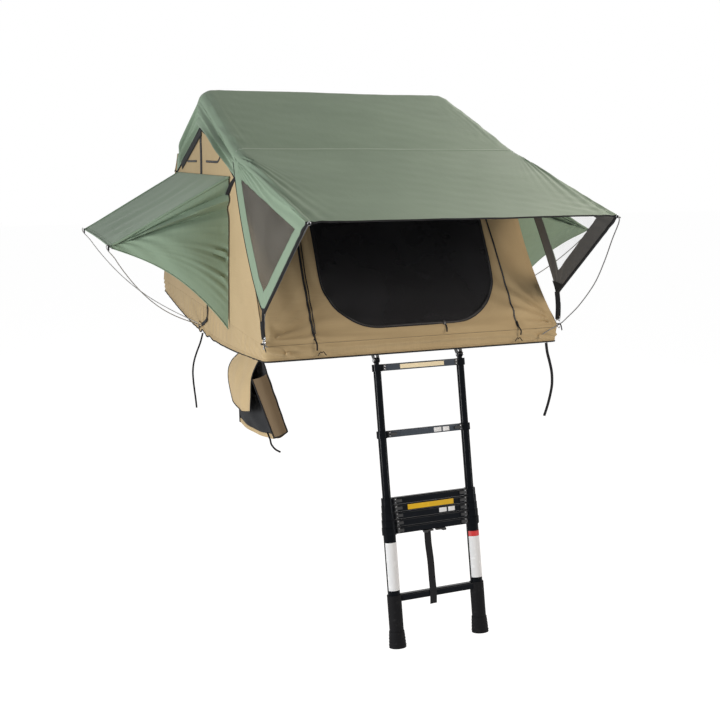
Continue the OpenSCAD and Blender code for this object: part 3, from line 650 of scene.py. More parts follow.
@dataclass(frozen=True)
class LadderFinish:
    """Black anodised tube with slate rungs between the legs; rungs of the collapsed bundle below Z -0.46 are
    painted almost as dark as the tube, as painted shade between the stacked sections.
    """

    name: str
    tube: Colour
    rung: Colour
    rung_reach: float = 0.168

    def make(self) -> bpy.types.Material:
        """Builds the material."""
        board = Board(bpy.data.materials.new(self.name))
        place = board.place()
        inside = abs(board.coordinate(place, "X")).below(self.rung_reach)
        drawn = board.noise(board.stretched(place, (60.0, 900.0, 900.0)), 1.0, 3.0)
        dust = board.ramp(board.noise(place, 30.0, 5.0), 0.5, 0.75)
        # Painted shade: below Z -0.46 the rungs keep only a small share of the slate colour.
        clear_of_bundle_shade = board.ramp(board.coordinate(place, "Z"), -0.50, -0.46)
        colour = board.tint(inside * (0.06 + clear_of_bundle_shade * 0.94), self.tube, self.rung)
        return board.finish({
            "Base Color": board.tint(dust * 0.05, colour, (0.06, 0.068, 0.085)),
            "Roughness": 0.17 + (drawn - 0.5) * 0.06 + dust * 0.08,
            "Normal": board.relief(drawn * 0.00001),
            "Specular IOR Level": 0.06,
        })


@dataclass(frozen=True)
class MouldedFinish:
    """Moulded plastic or rubber with a pebbled skin."""

    name: str
    colour: Colour
    roughness: float
    pebble: float = 0.00008
    shine: float = 0.5

    def make(self) -> bpy.types.Material:
        """Builds the material."""
        board = Board(bpy.data.materials.new(self.name))
        place = board.place()
        pebbles = board.noise(place, 900.0, 2.0)
        scuff = board.ramp(board.noise(place, 40.0, 5.0), 0.55, 0.75)
        return board.finish({
            "Base Color": board.tint(scuff * 0.4, self.colour, scaled(self.colour, 1.4, 0.04)),
            "Roughness": self.roughness + scuff * 0.15,
            "Specular IOR Level": self.shine,
            "Normal": board.relief(pebbles * self.pebble),
        })


@dataclass(frozen=True)
class WebbingFinish:
    """Flat woven webbing with ribs along its length."""

    name: str
    colour: Colour
    rib: float = 0.0016

    def make(self) -> bpy.types.Material:
        """Builds the material."""
        board = Board(bpy.data.materials.new(self.name))
        cloth = board.place("UV")
        ribs = board.bands(cloth, self.rib, "Y")
        picks = board.bands(cloth, 0.7 * self.rib, "X")
        fuzz = board.ramp(board.noise(cloth, 300.0, 3.0), 0.3, 0.7)
        return board.finish({
            "Base Color": board.tint(fuzz * 0.5 + ribs * 0.3, self.colour, scaled(self.colour, 2.4)),
            "Roughness": 0.75 + fuzz * 0.1,
            "Normal": board.relief(ribs * picks * 0.0001),
            "Sheen Weight": 0.05,
            "Specular IOR Level": 0.2,
        })


@dataclass(frozen=True)
class PlyFinish:
    """Varnished plywood."""

    name: str
    colour: Colour
    dark: Colour

    def make(self) -> bpy.types.Material:
        """Builds the material."""
        board = Board(bpy.data.materials.new(self.name))
        place = board.place()
        grain = board.noise(board.stretched(place, (2.0, 26.0, 26.0)), 1.0, 6.0, 1.2)
        fine = board.noise(board.stretched(place, (14.0, 420.0, 420.0)), 1.0, 2.0)
        tone = board.ramp(grain, 0.35, 0.65)
        return board.finish({
            "Base Color": board.tint(tone * 0.7 + fine * 0.3, self.dark, self.colour),
            "Roughness": 0.42 + fine * 0.15,
            "Normal": board.relief(fine * 0.00005),
        })


class Finish(Enum):
    """Every finish on the tent."""

    FLY = ClothFinish("fly_cloth_green", (0.250, 0.335, 0.244), (0.211, 0.288, 0.207), 0.0009, 0.0012, 11.0,
                      0.56, 0.06, 0.12)
    LINING = ClothFinish("fly_lining_grey", (0.088, 0.084, 0.079), (0.066, 0.063, 0.059), 0.0009, 0.0008)
    CANVAS = ClothFinish("canopy_canvas_tan", (0.50, 0.375, 0.205), (0.42, 0.31, 0.165), 0.0014, 0.0014, 7.0,
                         0.85, 0.15)
    # Painted shade: a darker copy of the tan canvas, for the shoe bag's gussets.
    DARK_CANVAS = ClothFinish("bag_canvas_brown", (0.20, 0.142, 0.082), (0.165, 0.116, 0.067), 0.0014, 0.0014,
                              7.0, 0.85, 0.1)
    COVER = ClothFinish("mattress_cover_grey", (0.34, 0.33, 0.30), (0.27, 0.26, 0.24), 0.0014, 0.001)
    BINDING = ClothFinish("binding_black", (0.009, 0.009, 0.010), (0.006, 0.006, 0.007), 0.0008, 0.0002, 9.0,
                          0.8, 0.02)
    NET = NetFinish("door_net_black", (0.012, 0.012, 0.014), 0.93)
    WING_NET = NetFinish("wing_net_grey", (0.150, 0.142, 0.125), 0.52)
    CLEAR_NET = NetFinish("wing_net_clear", (0.10, 0.10, 0.095), 0.07)
    # The seam strips over the creases are real; their colour, a lighter copy of the fly's green, is painted
    # highlight along the crease.
    SEAM = ClothFinish("fly_seam_pale", (0.36, 0.46, 0.36), (0.31, 0.40, 0.31), 0.0009, 0.0006)
    POCKET_NET = NetFinish("pocket_net_black", (0.014, 0.015, 0.017), 0.97)
    WEBBING = WebbingFinish("strap_webbing_black", (0.006, 0.006, 0.007))
    ZIP = MouldedFinish("zip_teeth_black", (0.012, 0.012, 0.013), 0.4, 0.0)
    ALUMINIUM = MetalFinish("bow_aluminium", (0.62, 0.63, 0.64), (0.5, 0.5, 0.5), 1.0, 0.34)
    RAIL = MetalFinish("rail_black_coat", (0.02, 0.02, 0.022), (0.05, 0.05, 0.05), 0.2, 0.42)
    PLATED = MetalFinish("plated_steel", (0.46, 0.47, 0.49), (0.32, 0.31, 0.30), 1.0, 0.28)
    WIRE = MetalFinish("spring_wire_grey", (0.42, 0.42, 0.41), (0.34, 0.34, 0.33), 0.1, 0.6)
    DARK_WIRE = MetalFinish("spring_wire_dark", (0.16, 0.16, 0.16), (0.10, 0.10, 0.10), 0.7, 0.4)
    FITTING_TAN = MouldedFinish("fitting_plastic_tan", (0.42, 0.31, 0.165), 0.6)
    STEEL = MetalFinish("bracket_black", (0.025, 0.026, 0.03), (0.07, 0.07, 0.07), 0.3, 0.4)
    PLASTIC = MouldedFinish("fitting_plastic_black", (0.014, 0.014, 0.015), 0.42)
    RUBBER = MouldedFinish("foot_rubber_black", (0.006, 0.006, 0.007), 0.7, 0.0002, 0.12)
    LADDER = LadderFinish("ladder_black_anodised", (0.003, 0.004, 0.006), (0.070, 0.084, 0.105))
    PLY = PlyFinish("base_plywood", (0.40, 0.27, 0.14), (0.26, 0.16, 0.08))
    CREAM = MouldedFinish("strip_cream", (0.90, 0.77, 0.51), 0.6, 0.00003)
    YELLOW = MouldedFinish("strip_yellow", (0.74, 0.44, 0.002), 0.6, 0.00003)
    WHITE = MouldedFinish("strip_white", (0.80, 0.81, 0.82), 0.6, 0.00003)
    RED = MouldedFinish("strip_red", (0.60, 0.03, 0.03), 0.45, 0.00003)


# Meshes

FINISHES: dict[Finish, bpy.types.Material] = {}


def add_object(name: str, data: bpy.types.ID, finishes: Sequence[Finish] = ()) -> bpy.types.Object:
    """Puts a new object in the scene, with its finishes."""
    for finish in finishes:
        data.materials.append(FINISHES[finish])
    made = bpy.data.objects.new(name, data)
    bpy.context.scene.collection.objects.link(made)
    return made


def new_mesh(name: str, points: Sequence[Array], faces: Sequence[tuple[int, ...]],
             flats: Sequence[Array]) -> bpy.types.Mesh:
    """A mesh with flat coordinates at its faces' corners.

    Args:
        name: the mesh's name.
        points: lists of points, one after another.
        faces: the points of each face.
        flats: flat coordinates, face by face.

    Returns:
        The new mesh.
    """
    mesh = bpy.data.meshes.new(name)
    mesh.from_pydata(np.concatenate(points).tolist(), [], faces)
    layer = mesh.uv_layers.new(name="cloth")
    layer.data.foreach_set("uv", np.concatenate(flats).astype(np.float32).ravel())
    return mesh


def smooth(mesh: bpy.types.Mesh) -> None:
    """Shades every face of a mesh smoothly."""
    mesh.polygons.foreach_set("use_smooth", [True] * len(mesh.polygons))


def evaluated(piece: bpy.types.Object) -> bpy.types.Mesh:
    """A plain mesh of a piece as its modifiers shape it."""
    return bpy.data.meshes.new_from_object(piece.evaluated_get(bpy.context.evaluated_depsgraph_get()))


@dataclass
class Patch:
    """One layer of cloth on a grid of points, with the flat coordinates that it was cut from."""

    points: Array
    closed: bool = False
    flat: Array = field(init=False)

    def __post_init__(self) -> None:
        """Lays the patch flat by its lengths along rows and columns."""
        p = self.loop
        across = np.zeros(p.shape[:2])
        along = np.zeros(p.shape[:2])
        across[:, 1:] = np.cumsum(np.linalg.norm(np.diff(p, axis=1), axis=-1), axis=1)
        along[1:, :] = np.cumsum(np.linalg.norm(np.diff(p, axis=0), axis=-1), axis=0)
        self.flat = np.stack([across, along], axis=-1)

    @property
    def loop(self) -> Array:
        """The grid, with its first column again at the end where it closes."""
        return np.concatenate([self.points, self.points[:, :1]], axis=1) if self.closed else self.points

    def normals(self) -> Array:
        """Unit normals of the grid's points."""
        if self.closed:
            across = np.roll(self.points, -1, axis=1) - np.roll(self.points, 1, axis=1)
        else:
            across = np.gradient(self.points, axis=1)
        return unit(np.cross(across, np.gradient(self.points, axis=0)))

    def facing(self, way: Sequence[float]) -> Patch:
        """The patch with its face turned to a given side."""
        if (self.normals() * np.asarray(way, float)).sum() < 0:
            self.points = self.points[:, ::-1]
            self.flat = self.flat[:, ::-1]
        return self

    @property
    def plane_size(self) -> Pair:
        """Length and width of the patch across its own plane, as a flat piece with a hole is cut."""
        points = self.points.reshape(-1, 3)
        offsets = points - points.mean(axis=0)
        flat = offsets @ np.linalg.svd(offsets, full_matrices=False)[2][:2].T
        return tuple(float(side) for side in flat.max(axis=0) - flat.min(axis=0))

    @property
    def area(self) -> float:
        """Area of the cloth."""
        p = self.loop
        a, b = p[1:, 1:] - p[:-1, :-1], p[1:, :-1] - p[:-1, 1:]
        return float(np.linalg.norm(np.cross(a, b), axis=-1).sum() / 2.0)

    def run(self, axis: int) -> float:
        """The usual flat length across the patch, or along it."""
        return float(np.median(self.flat[:, :, axis].max(axis=1 - axis)))


def cloth_mesh(name: str, patches: Sequence[Patch], finishes: Sequence[Finish],
               thick: float) -> bpy.types.Object:
    """A piece of cloth made of patches, with a thickness.

    Args:
        name: the piece's name.
        patches: grids of points whose faces look outwards.
        finishes: the outer finish, and the inner one where it differs.
        thick: thickness of the cloth, inwards from the patches.

    Returns:
        The new object.
    """
    points: list[Array] = []
    faces: list[tuple[int, ...]] = []
    flats: list[Array] = []
    start = 0
    for patch in patches:
        rows, cols = patch.points.shape[:2]
        i, j = np.meshgrid(np.arange(rows - 1), np.arange(cols if patch.closed else cols - 1), indexing="ij")
        k = (j + 1) % cols
        quads = np.stack([i * cols + j, i * cols + k, (i + 1) * cols + k, (i + 1) * cols + j], -1)
        faces.extend(map(tuple, (quads.reshape(-1, 4) + start).tolist()))
        flat = patch.flat
        corners = np.stack([flat[i, j], flat[i, j + 1], flat[i + 1, j + 1], flat[i + 1, j]], 2)
        flats.append(corners.reshape(-1, 2))
        points.append(patch.points.reshape(-1, 3))
        start += rows * cols
    mesh = new_mesh(name, points, faces, flats)
    work = bmesh.new()
    work.from_mesh(mesh)
    bmesh.ops.remove_doubles(work, verts=work.verts, dist=2e-6)
    bmesh.ops.dissolve_degenerate(work, edges=work.edges, dist=1e-6)
    work.to_mesh(mesh)
    work.free()
    smooth(mesh)
    piece = add_object(name, mesh, finishes)
    if thick == 0.0:
        return piece
    thickness = piece.modifiers.new("cloth thickness", "SOLIDIFY")
    thickness.thickness = thick
    thickness.offset = -1.0
    thickness.material_offset = len(finishes) - 1
    whole = evaluated(piece)
    whole.set_sharp_from_angle(angle=math.radians(60.0))
    piece.modifiers.clear()
    piece.data = whole
    return piece


class SolidMesh:
    """Collects small solids of one piece: tubes, straps, turned shapes and blocks."""

    def __init__(self) -> None:
        """Starts with nothing."""
        self.points: list[Array] = []
        self.faces: list[tuple[int, ...]] = []
        self.flats: list[Array] = []
        self.slots: list[int] = []
        self.start = 0

    def _face(self, corners: Sequence[int], flat: Sequence[Sequence[float]], slot: int) -> None:
        """Adds one face with its flat coordinates."""
        self.faces.append(tuple(corners))
        self.flats.append(np.array(flat, float))
        self.slots.append(slot)

    def skin(self, rings: Array, slot: int, closed: bool = False) -> None:
        """Skins rings of points and caps the ends unless they are closed.

        Args:
            rings: the rings' points, ring after ring.
            slot: the finish.
            closed: whether the last ring runs on into the first.
        """
        count, sides = rings.shape[:2]
        around = distances(np.concatenate([rings[0], rings[0, :1]]))
        centres = rings.mean(axis=1)
        along = distances(np.vstack([centres, centres[:1]]))
        for i in range(count if closed else count - 1):
            below, above = self.start + i * sides, self.start + ((i + 1) % count) * sides
            for k in range(sides):
                m = (k + 1) % sides
                flat = [[along[i + up], around[k + on]] for up, on in ((0, 0), (0, 1), (1, 1), (1, 0))]
                self._face((below + k, below + m, above + m, above + k), flat, slot)
        if not closed:
            last = self.start + (count - 1) * sides
            self._face(range(self.start + sides - 1, self.start - 1, -1), np.zeros((sides, 2)), slot)
            self._face(range(last, last + sides), np.zeros((sides, 2)), slot)
        self.points.append(rings.reshape(-1, 3))
        self.start += count * sides

    def sweep(self, path: Array, outline: Array, lay: Sequence[float] | Array, slot: int = 0,
              closed: bool = False) -> None:
        """Sweeps an outline along a path.

        Args:
            path: the points that it follows.
            outline: counter-clockwise points, first across and then along lay.
            lay: the direction of the outline's second axis, one for all points or one each.
            slot: the finish.
            closed: whether the path runs back to its start.
        """
        path = np.asarray(path, float)
        if closed:
            ahead = unit(np.roll(path, -1, axis=0) - np.roll(path, 1, axis=0))
        else:
            ahead = unit(np.gradient(path, axis=0))
        lay = np.broadcast_to(np.asarray(lay, float), path.shape)
        up = unit(lay - (lay * ahead).sum(-1, keepdims=True) * ahead)
        side = np.cross(up, ahead)
        rings = path[:, None] + outline[None, :, :1] * side[:, None] + outline[None, :, 1:] * up[:, None]
        self.skin(rings, slot, closed)

    def tube(self, path: Array, radius: float, slot: int = 0, sides: int = 8, closed: bool = False) -> None:
        """A round tube along a path."""
        lay = np.eye(3)[int(np.argmin(np.ptp(path, axis=0)))]
        self.sweep(path, circle(radius, sides), lay, slot, closed)

    def strap(self, path: Array, width: float, thick: float, lay: Sequence[float] | Array, slot: int = 0,
              closed: bool = False) -> None:
        """A flat strap along a path, with soft edges."""
        a, b, soft = width / 2.0, thick / 2.0, 0.3 * thick
        half = np.array([[a, soft - b], [a, b - soft], [a - soft, b], [soft - a, b]])
        self.sweep(path, np.vstack([half, -half]), lay, slot, closed)

    def turned(self, profile: Sequence[Pair], place: Array, axis: Array, slot: int = 0,
               sides: int = 20) -> None:
        """A solid of revolution.

        Args:
            profile: radius and distance along the axis, in order along it.
            place: where the axis starts.
            axis: its direction, in the plane of Y and Z.
            slot: the finish.
            sides: faces round it.
        """
        way = unit(axis)
        up = unit(np.cross(way, RIGHTWARDS))
        ring = circle(1.0, sides) @ np.stack([np.cross(up, way), up])
        self.skin(np.stack([place + r * ring + z * way for r, z in profile]), slot)

    def block(self, centre: Array, size: Sequence[float], bevel: float, turn: Matrix | None = None,
              slot: int = 0) -> None:
        """A block with rounded edges, turned about its centre.

        Args:
            centre: the block's middle.
            size: its three lengths.
            bevel: the width of its rounded edges.
            turn: its turn about the middle.
            slot: its finish, counted in the piece's list.
        """
        work = bmesh.new()
        bmesh.ops.create_cube(work, size=1.0)
        bmesh.ops.scale(work, vec=Vector(size), verts=work.verts)
        bmesh.ops.bevel(work, geom=work.edges, offset=bevel, segments=2, affect="EDGES", profile=0.6)
        if turn is not None:
            bmesh.ops.rotate(work, matrix=turn, verts=work.verts)
        work.verts.index_update()
        self.points.append(np.array([vert.co for vert in work.verts]) + centre)
        for face in work.faces:
            corners = [self.start + vert.index for vert in face.verts]
            self._face(corners, [[vert.co.x, vert.co.z] for vert in face.verts], slot)
        self.start += len(work.verts)
        work.free()

    def build(self, name: str, finishes: Sequence[Finish]) -> bpy.types.Object:
        """Makes the object."""
        mesh = new_mesh(name, self.points, self.faces, self.flats)
        mesh.polygons.foreach_set("material_index", self.slots)
        smooth(mesh)
        mesh.set_sharp_from_angle(angle=math.radians(50.0))
        return add_object(name, mesh, finishes)


class RowTree:
    """A geometry tree that lays one small block after another along paths, such as stitches or zip teeth."""

    SIZES = ("Spacing", "Block length", "Block width", "Block height")
    NODES = {
        "given": "NodeGroupInput",
        "curve": "GeometryNodeMeshToCurve",
        "spots": "GeometryNodeCurveToPoints",
        "lay": "GeometryNodeInputNamedAttribute",
        "turn": "FunctionNodeAxesToRotation",
        "size": "ShaderNodeCombineXYZ",
        "block": "GeometryNodeMeshCube",
        "copies": "GeometryNodeInstanceOnPoints",
        "solid": "GeometryNodeRealizeInstances",
        "paint": "GeometryNodeSetMaterial",
        "result": "NodeGroupOutput",
    }
    LINKS = (
        ("given", "Geometry", "curve", "Mesh"), ("curve", "Curve", "spots", "Curve"),
        ("given", "Spacing", "spots", "Length"), ("spots", "Tangent", "turn", "Primary Axis"),
        ("lay", "Attribute", "turn", "Secondary Axis"), ("given", "Block length", "size", "X"),
        ("given", "Block width", "size", "Y"), ("given", "Block height", "size", "Z"),
        ("size", "Vector", "block", "Size"), ("spots", "Points", "copies", "Points"),
        ("block", "Mesh", "copies", "Instance"), ("turn", "Rotation", "copies", "Rotation"),
        ("copies", "Instances", "solid", "Geometry"), ("solid", "Geometry", "paint", "Geometry"),
        ("given", "Material", "paint", "Material"), ("paint", "Geometry", "result", "Geometry"),
    )

    def __init__(self) -> None:
        """Builds the tree once."""
        self.tree = bpy.data.node_groups.new("blocks along paths", "GeometryNodeTree")
        face = self.tree.interface
        face.new_socket(name="Geometry", in_out="OUTPUT", socket_type="NodeSocketGeometry")
        kinds = {"Geometry": "Geometry"} | dict.fromkeys(self.SIZES, "Float") | {"Material": "Material"}
        self.inputs = {}
        for name, kind in kinds.items():
            socket = face.new_socket(name=name, in_out="INPUT", socket_type=f"NodeSocket{kind}")
            self.inputs[name] = socket.identifier
        nodes = {name: self.tree.nodes.new(kind) for name, kind in self.NODES.items()}
        nodes["spots"].mode = "LENGTH"
        nodes["lay"].data_type = "FLOAT_VECTOR"
        nodes["lay"].inputs["Name"].default_value = "lay"
        nodes["turn"].primary_axis, nodes["turn"].secondary_axis = "X", "Z"
        for source, outlet, target, inlet in self.LINKS:
            self.tree.links.new(nodes[source].outputs[outlet], nodes[target].inputs[inlet])

    def lay(self, name: str, rows: Sequence[tuple[Array, Array]], sizes: Sequence[float],
            finish: Finish) -> bpy.types.Object:
        """Lays blocks along rows.

        Args:
            name: the piece's name.
            rows: for each row its path, and the direction that faces away from the cloth at each point.
            sizes: spacing, and a block's length, width and height.
            finish: the blocks' finish.

        Returns:
            The piece as a plain mesh.
        """
        points, edges, ways = [], [], []
        for path, lay in rows:
            start = len(points)
            points.extend(map(tuple, path))
            ways.extend(np.broadcast_to(lay, path.shape).tolist())
            edges.extend((start + i, start + i + 1) for i in range(len(path) - 1))
        mesh = bpy.data.meshes.new(f"{name} path")
        mesh.from_pydata(points, edges, [])
        mesh.attributes.new("lay", "FLOAT_VECTOR", "POINT").data.foreach_set("vector", np.ravel(ways))
        carrier = add_object(f"{name} path", mesh)
        rule = carrier.modifiers.new("row", "NODES")
        rule.node_group = self.tree
        for key, value in zip(self.SIZES, sizes):
            rule[self.inputs[key]] = value
        rule[self.inputs["Material"]] = FINISHES[finish]
        made = evaluated(carrier)
        bpy.data.objects.remove(carrier)
        made.materials.clear()
        return add_object(name, made, [finish])


@dataclass
class Fitter:
    """Puts finished pieces on the tent and reports them."""

    tent: TentFrame
    rows: RowTree
    folded_share: float = 0.027
    lifted_share: float = 0.12
    least_cover: float = 0.32

    def put(self, piece: bpy.types.Object, body: Body | str, slot: Slot, *nodes: str,
            fold: Fold = Fold.GATHERED) -> bpy.types.Object:
        """Sets a piece on a body.

        Args:
            piece: the finished piece.
            body: what it moves with.
            slot: the record's slot for its finish; not used.
            nodes: the plain solids that it stands for.
            fold: how it is meant to take the tent's fold; it only decides whether the piece gets its own
                mesh.

        Returns:
            The piece.
        """
        name = body.value if isinstance(body, Body) else body
        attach(piece, name)
        if nodes:
            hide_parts(*nodes)
        if fold is Fold.GATHERED:
            tuple(self.tent.fold)
            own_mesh(piece)
        if fold is Fold.LIFTED:
            self.tent.base_z
            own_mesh(piece)
        LOG.info("%s rides on %s", piece.name, name)
        return piece

    def cloth(self, name: str, patches: Sequence[Patch], finishes: Sequence[Finish], thick: float, body: Body,
              slot: Slot, *nodes: str, held: str = "stretched", rests_on: Sequence[str] = (),
              fold: Fold = Fold.GATHERED) -> None:
        """Args:
            name: the piece's name.
            patches: its layers, the largest first.
            finishes: the outer finish, and the inner one where it differs.
            thick: thickness of the cloth.
            body: what it moves with.
            slot: the record's slot for its finish; not used.
            nodes: the plain solids that it stands for.
            held: how it is held; not used.
            rests_on: the pieces and nodes that hold it.
            fold: how it is meant to take the tent's fold, passed on to put.
        """
        piece = self.put(cloth_mesh(name, patches, finishes, thick), body, slot, *nodes, fold=fold)
        area = sum(patch.area for patch in patches)
        width, long = patches[0].plane_size
        if not patches[0].closed or area < self.least_cover * width * long:
            width = max(patch.run(0) for patch in patches)
            long = max(area / width, max(patch.run(1) for patch in patches))
        list(rests_on)

    def solid(self, mesh: SolidMesh, name: str, finishes: Sequence[Finish], body: Body | str, slot: Slot,
              *nodes: str, fold: Fold = Fold.GATHERED) -> bpy.types.Object:
        """Makes a piece of small solids and sets it on a body."""
        return self.put(mesh.build(name, finishes), body, slot, *nodes, fold=fold)

    def row(self, name: str, rows: Sequence[tuple[Array, Array]], sizes: Sequence[float], finish: Finish,
            body: Body, slot: Slot, fold: Fold = Fold.GATHERED) -> None:
        """Makes a piece of rows of small blocks and sets it on a body."""
        self.put(self.rows.lay(name, rows, sizes, finish), body, slot, fold=fold)


# Cloth on planes


@dataclass
class Assembly:
    """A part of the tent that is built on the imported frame."""

    fitter: Fitter

    @property
    def tent(self) -> TentFrame:
        """The frame's places."""
        return self.fitter.tent


@dataclass
class WallPlane:
    """A flat wall with soft relief: across and up lie in it, and out looks away from the tent."""

    origin: Array
    across: Array
    up: Array
    out: Array
    relief: Callable[[Array, Array], Array]

    def point(self, uv: Array, lift: float = 0.0) -> Array:
        """Points on the wall from flat coordinates, lifted off its relief."""
        u, v = uv[..., 0], uv[..., 1]
        rise = self.relief(u, v) + lift
        return self.origin + u[..., None] * self.across + v[..., None] * self.up + rise[..., None] * self.out

    def patch(self, rings: Array) -> Patch:
        """A closed patch on the wall from rings of flat coordinates."""
        return Patch(self.point(rings), closed=True).facing(self.out)


@dataclass
class ZipRun:
    """A zip on a wall: its flat line, the tape's width and whether the line closes."""

    line: Array
    width: float = 0.022
    closed: bool = False


@dataclass
class Canopy(Assembly):
    """The tan body: sloping end walls, gabled side walls, roof, door, windows and zips."""

    half_width: float = 0.6993
    wall_foot: Pair = (0.0019, 0.0639)
    wall_slope: float = math.radians(60.94)
    wall_length: float = 0.896
    corner_cut: float = 0.05
    door_half: float = 0.41
    door_foot: float = 0.056
    door_top: float = 0.696
    door_round: float = 0.24
    middle_height: float = 0.42
    roof_eave: Pair = (0.4451, 0.8558)
    roof_peak: Pair = (1.2, 1.1573)
    roof_half: float = 0.6975
    eave_round: float = 0.041
    peak_round: float = 0.065
    round_share: float = 0.8
    window_half: float = 0.45
    window_span: Pair = (0.23, 0.61)
    window_round: float = 0.06
    thick: float = 0.0016
    layer: float = 0.002
    corner_draw: float = 0.075
    corner_span: Pair = (0.545, 0.81)
    tape_thick: float = 0.0012
    teeth: tuple[float, ...] = (0.0036, 0.002, 0.0055, 0.0014)

    def build(self) -> None:
        """Makes and dresses every piece of the canopy."""
        self.front = self.end_plane(False)
        self.front.relief = self.front_relief
        self.rear = self.end_plane(True)
        self.build_front()
        self.build_rear()
        for side in Side:
            self.build_side(side)
        self.build_roof()
        self.build_zips()
        self.build_pullers()

    def end_plane(self, mirrored: bool) -> WallPlane:
        """The plane of the front wall, or of the rear one."""
        way = -1.0 if mirrored else 1.0
        d = self.tent.length - self.wall_foot[0] if mirrored else self.wall_foot[0]
        up = np.array([0.0, way * math.cos(self.wall_slope), math.sin(self.wall_slope)])
        out = np.array([0.0, -way * math.sin(self.wall_slope), math.cos(self.wall_slope)])
        origin = self.tent.at(0.0, d, self.wall_foot[1]) + self.layer * out
        return WallPlane(origin, RIGHTWARDS, up, out, self.end_relief)

    def height_at(self, v: Array) -> Array:
        """Height over the base's underside at a distance v up an end wall."""
        return self.wall_foot[1] + math.sin(self.wall_slope) * v

    def end_relief(self, u: Array, v: Array) -> Array:
        """Folds of an end wall: pulls from its lower corners, slack below the door, and soft waves.

        Args:
            u: metres across the wall.
            v: metres up the wall.

        Returns:
            The cloth's height over the flat wall.
        """
        foot, eave, half = 0.02, 0.85, self.half_width
        fan = pulls(u, v, (-half, foot), 24.0, 0.26, 0.4) + pulls(u, v, (half, foot), 24.0, 0.26, 1.9)
        steep = np.arctan2(v - foot, half - np.abs(u))
        fan = fan * (1.0 - ease((steep - 0.70) / 0.40))
        fan = fan + 0.6 * pulls(u, v, (-half, eave), 18.0, 0.25) + 0.6 * pulls(u, v, (half, eave), 18.0, 0.25)
        slack = waves(0.6 * u, 3.0 * v, 0.20, 11, 75.0, 25.0) * np.exp(-np.abs(v - 0.03) / 0.06)
        drape = waves(u, 0.6 * v, 0.16, 5, 15.0, 25.0) * ease((np.abs(u) - 0.36) / 0.1)
        hold = ease(v / 0.03) * ease((self.wall_length - v) / 0.05) * ease((half - np.abs(u)) / 0.03)
        return hold * (0.006 + 0.008 * fan + 0.006 * slack + 0.005 * drape)

    def corner_in(self, h: Array) -> Array:
        """How far the right front corner is drawn in at a height."""
        most, end = self.corner_span
        short = np.clip((most - h) / (most - self.wall_foot[1]), 0.0, 1.0)
        return self.corner_draw * (1.0 - short**2) * ease((end - h) / 0.2)

    def front_relief(self, u: Array, v: Array) -> Array:
        """Folds of the front wall, which end at its drawn-in right edge."""
        edge = self.half_width - self.corner_in(self.height_at(v))
        return self.end_relief(u, v) * ease((edge - u) / 0.03)

    def door_line(self, grow: float = 0.0, count: int = 160) -> Array:
        """The door's outline on its wall, larger by grow."""
        half, round_r = self.door_half + grow, self.door_round + grow
        low, top = self.door_foot - grow, self.door_top + grow
        turn = steps(14, 0.0, math.pi / 2.0)
        right = round_r * np.stack([np.sin(turn), -np.cos(turn)], axis=1) + [half - round_r, low + round_r]
        line = np.vstack([right, [[half, top], [-half, top]], right[::-1] * [-1.0, 1.0]])
        return spaced(line, count, closed=True)

    def door_relief(self, u: Array, v: Array) -> Array:
        """The mesh door follows its wall at the edge and hangs a little slack inside."""
        edge = np.minimum(self.door_half - np.abs(u), np.minimum(v - self.door_foot, self.door_top - v))
        inside = ease(edge / 0.12)
        return (1.0 - inside) * self.end_relief(u, v) + inside * (0.003 * waves(u, v, 0.3, 21) - 0.004)

    def build_front(self) -> None:
        """The front wall with its door hole, and the mesh door in it."""
        half, long, cut = self.half_width, self.wall_length, self.corner_cut
        v = steps(40, 0.0, long - cut)
        edge = half - self.corner_in(self.height_at(v))
        top = [[half - cut, long], [cut - half, long], [-half, long - cut]]
        outer = np.vstack([[[-half, 0.0]], np.stack([edge, v], axis=1), top])
        middle = (0.0, self.middle_height)
        wall = self.front.patch(between(self.door_line(CLEAR), outer, middle, 260, 34))
        self.fitter.cloth("front_wall_canvas", [wall], [Finish.CANVAS], self.thick, Body.CANOPY, Slot.TAN,
                          "front_wall", rests_on=["front_bow_crossbar"])
        slack = replace(self.front, relief=self.door_relief)
        net = slack.patch(shrunk(self.door_line(-CLEAR), middle, 26))
        self.fitter.cloth("door_net", [net], [Finish.NET], NET_THICK, Body.DOOR, Slot.NET,
                          "door_mesh", held="hung", rests_on=["front_wall_canvas"])

    def build_rear(self) -> None:
        """The rear wall."""
        half = self.half_width
        across, up = np.meshgrid(steps(110, -half, half), steps(80, 0.0, self.wall_length))
        d = self.tent.length - self.wall_foot[0] - math.cos(self.wall_slope) * up
        drawn = self.tent.side_in(d, self.height_at(up))
        across = across * (1.0 + (0.003 - drawn) / half)
        patch = Patch(self.rear.point(np.stack([across, up], axis=-1))).facing(self.rear.out)
        self.fitter.cloth("rear_wall_canvas", [patch], [Finish.CANVAS], self.thick, Body.CANOPY, Slot.TAN,
                          "rear_wall", rests_on=["rear_bow_crossbar"])

    def window_line(self, grow: float = 0.0, count: int = 120) -> Array:
        """A side window's outline in d and h, larger by grow."""
        middle, half = self.tent.half_length, self.window_half + grow
        low, top = self.window_span[0] - grow, self.window_span[1] + grow
        corners = [(middle - half, low), (middle + half, low), (middle + half, top), (middle - half, top)]
        return spaced(rounded(corners, self.window_round + grow, 9, closed=True), count, closed=True)

    def gable_line(self) -> Array:
        """The side wall's outline in d and h."""
        length, foot, low = self.tent.length, 0.002, self.wall_foot[1]
        eave = (self.roof_eave[0] - 0.0066, self.roof_eave[1] - self.round_share * self.eave_round)
        peak = (self.roof_peak[0], self.roof_peak[1] - self.round_share * self.peak_round)
        return np.array([[foot, low], [length - foot, low], [length - eave[0], eave[1]], peak, eave])

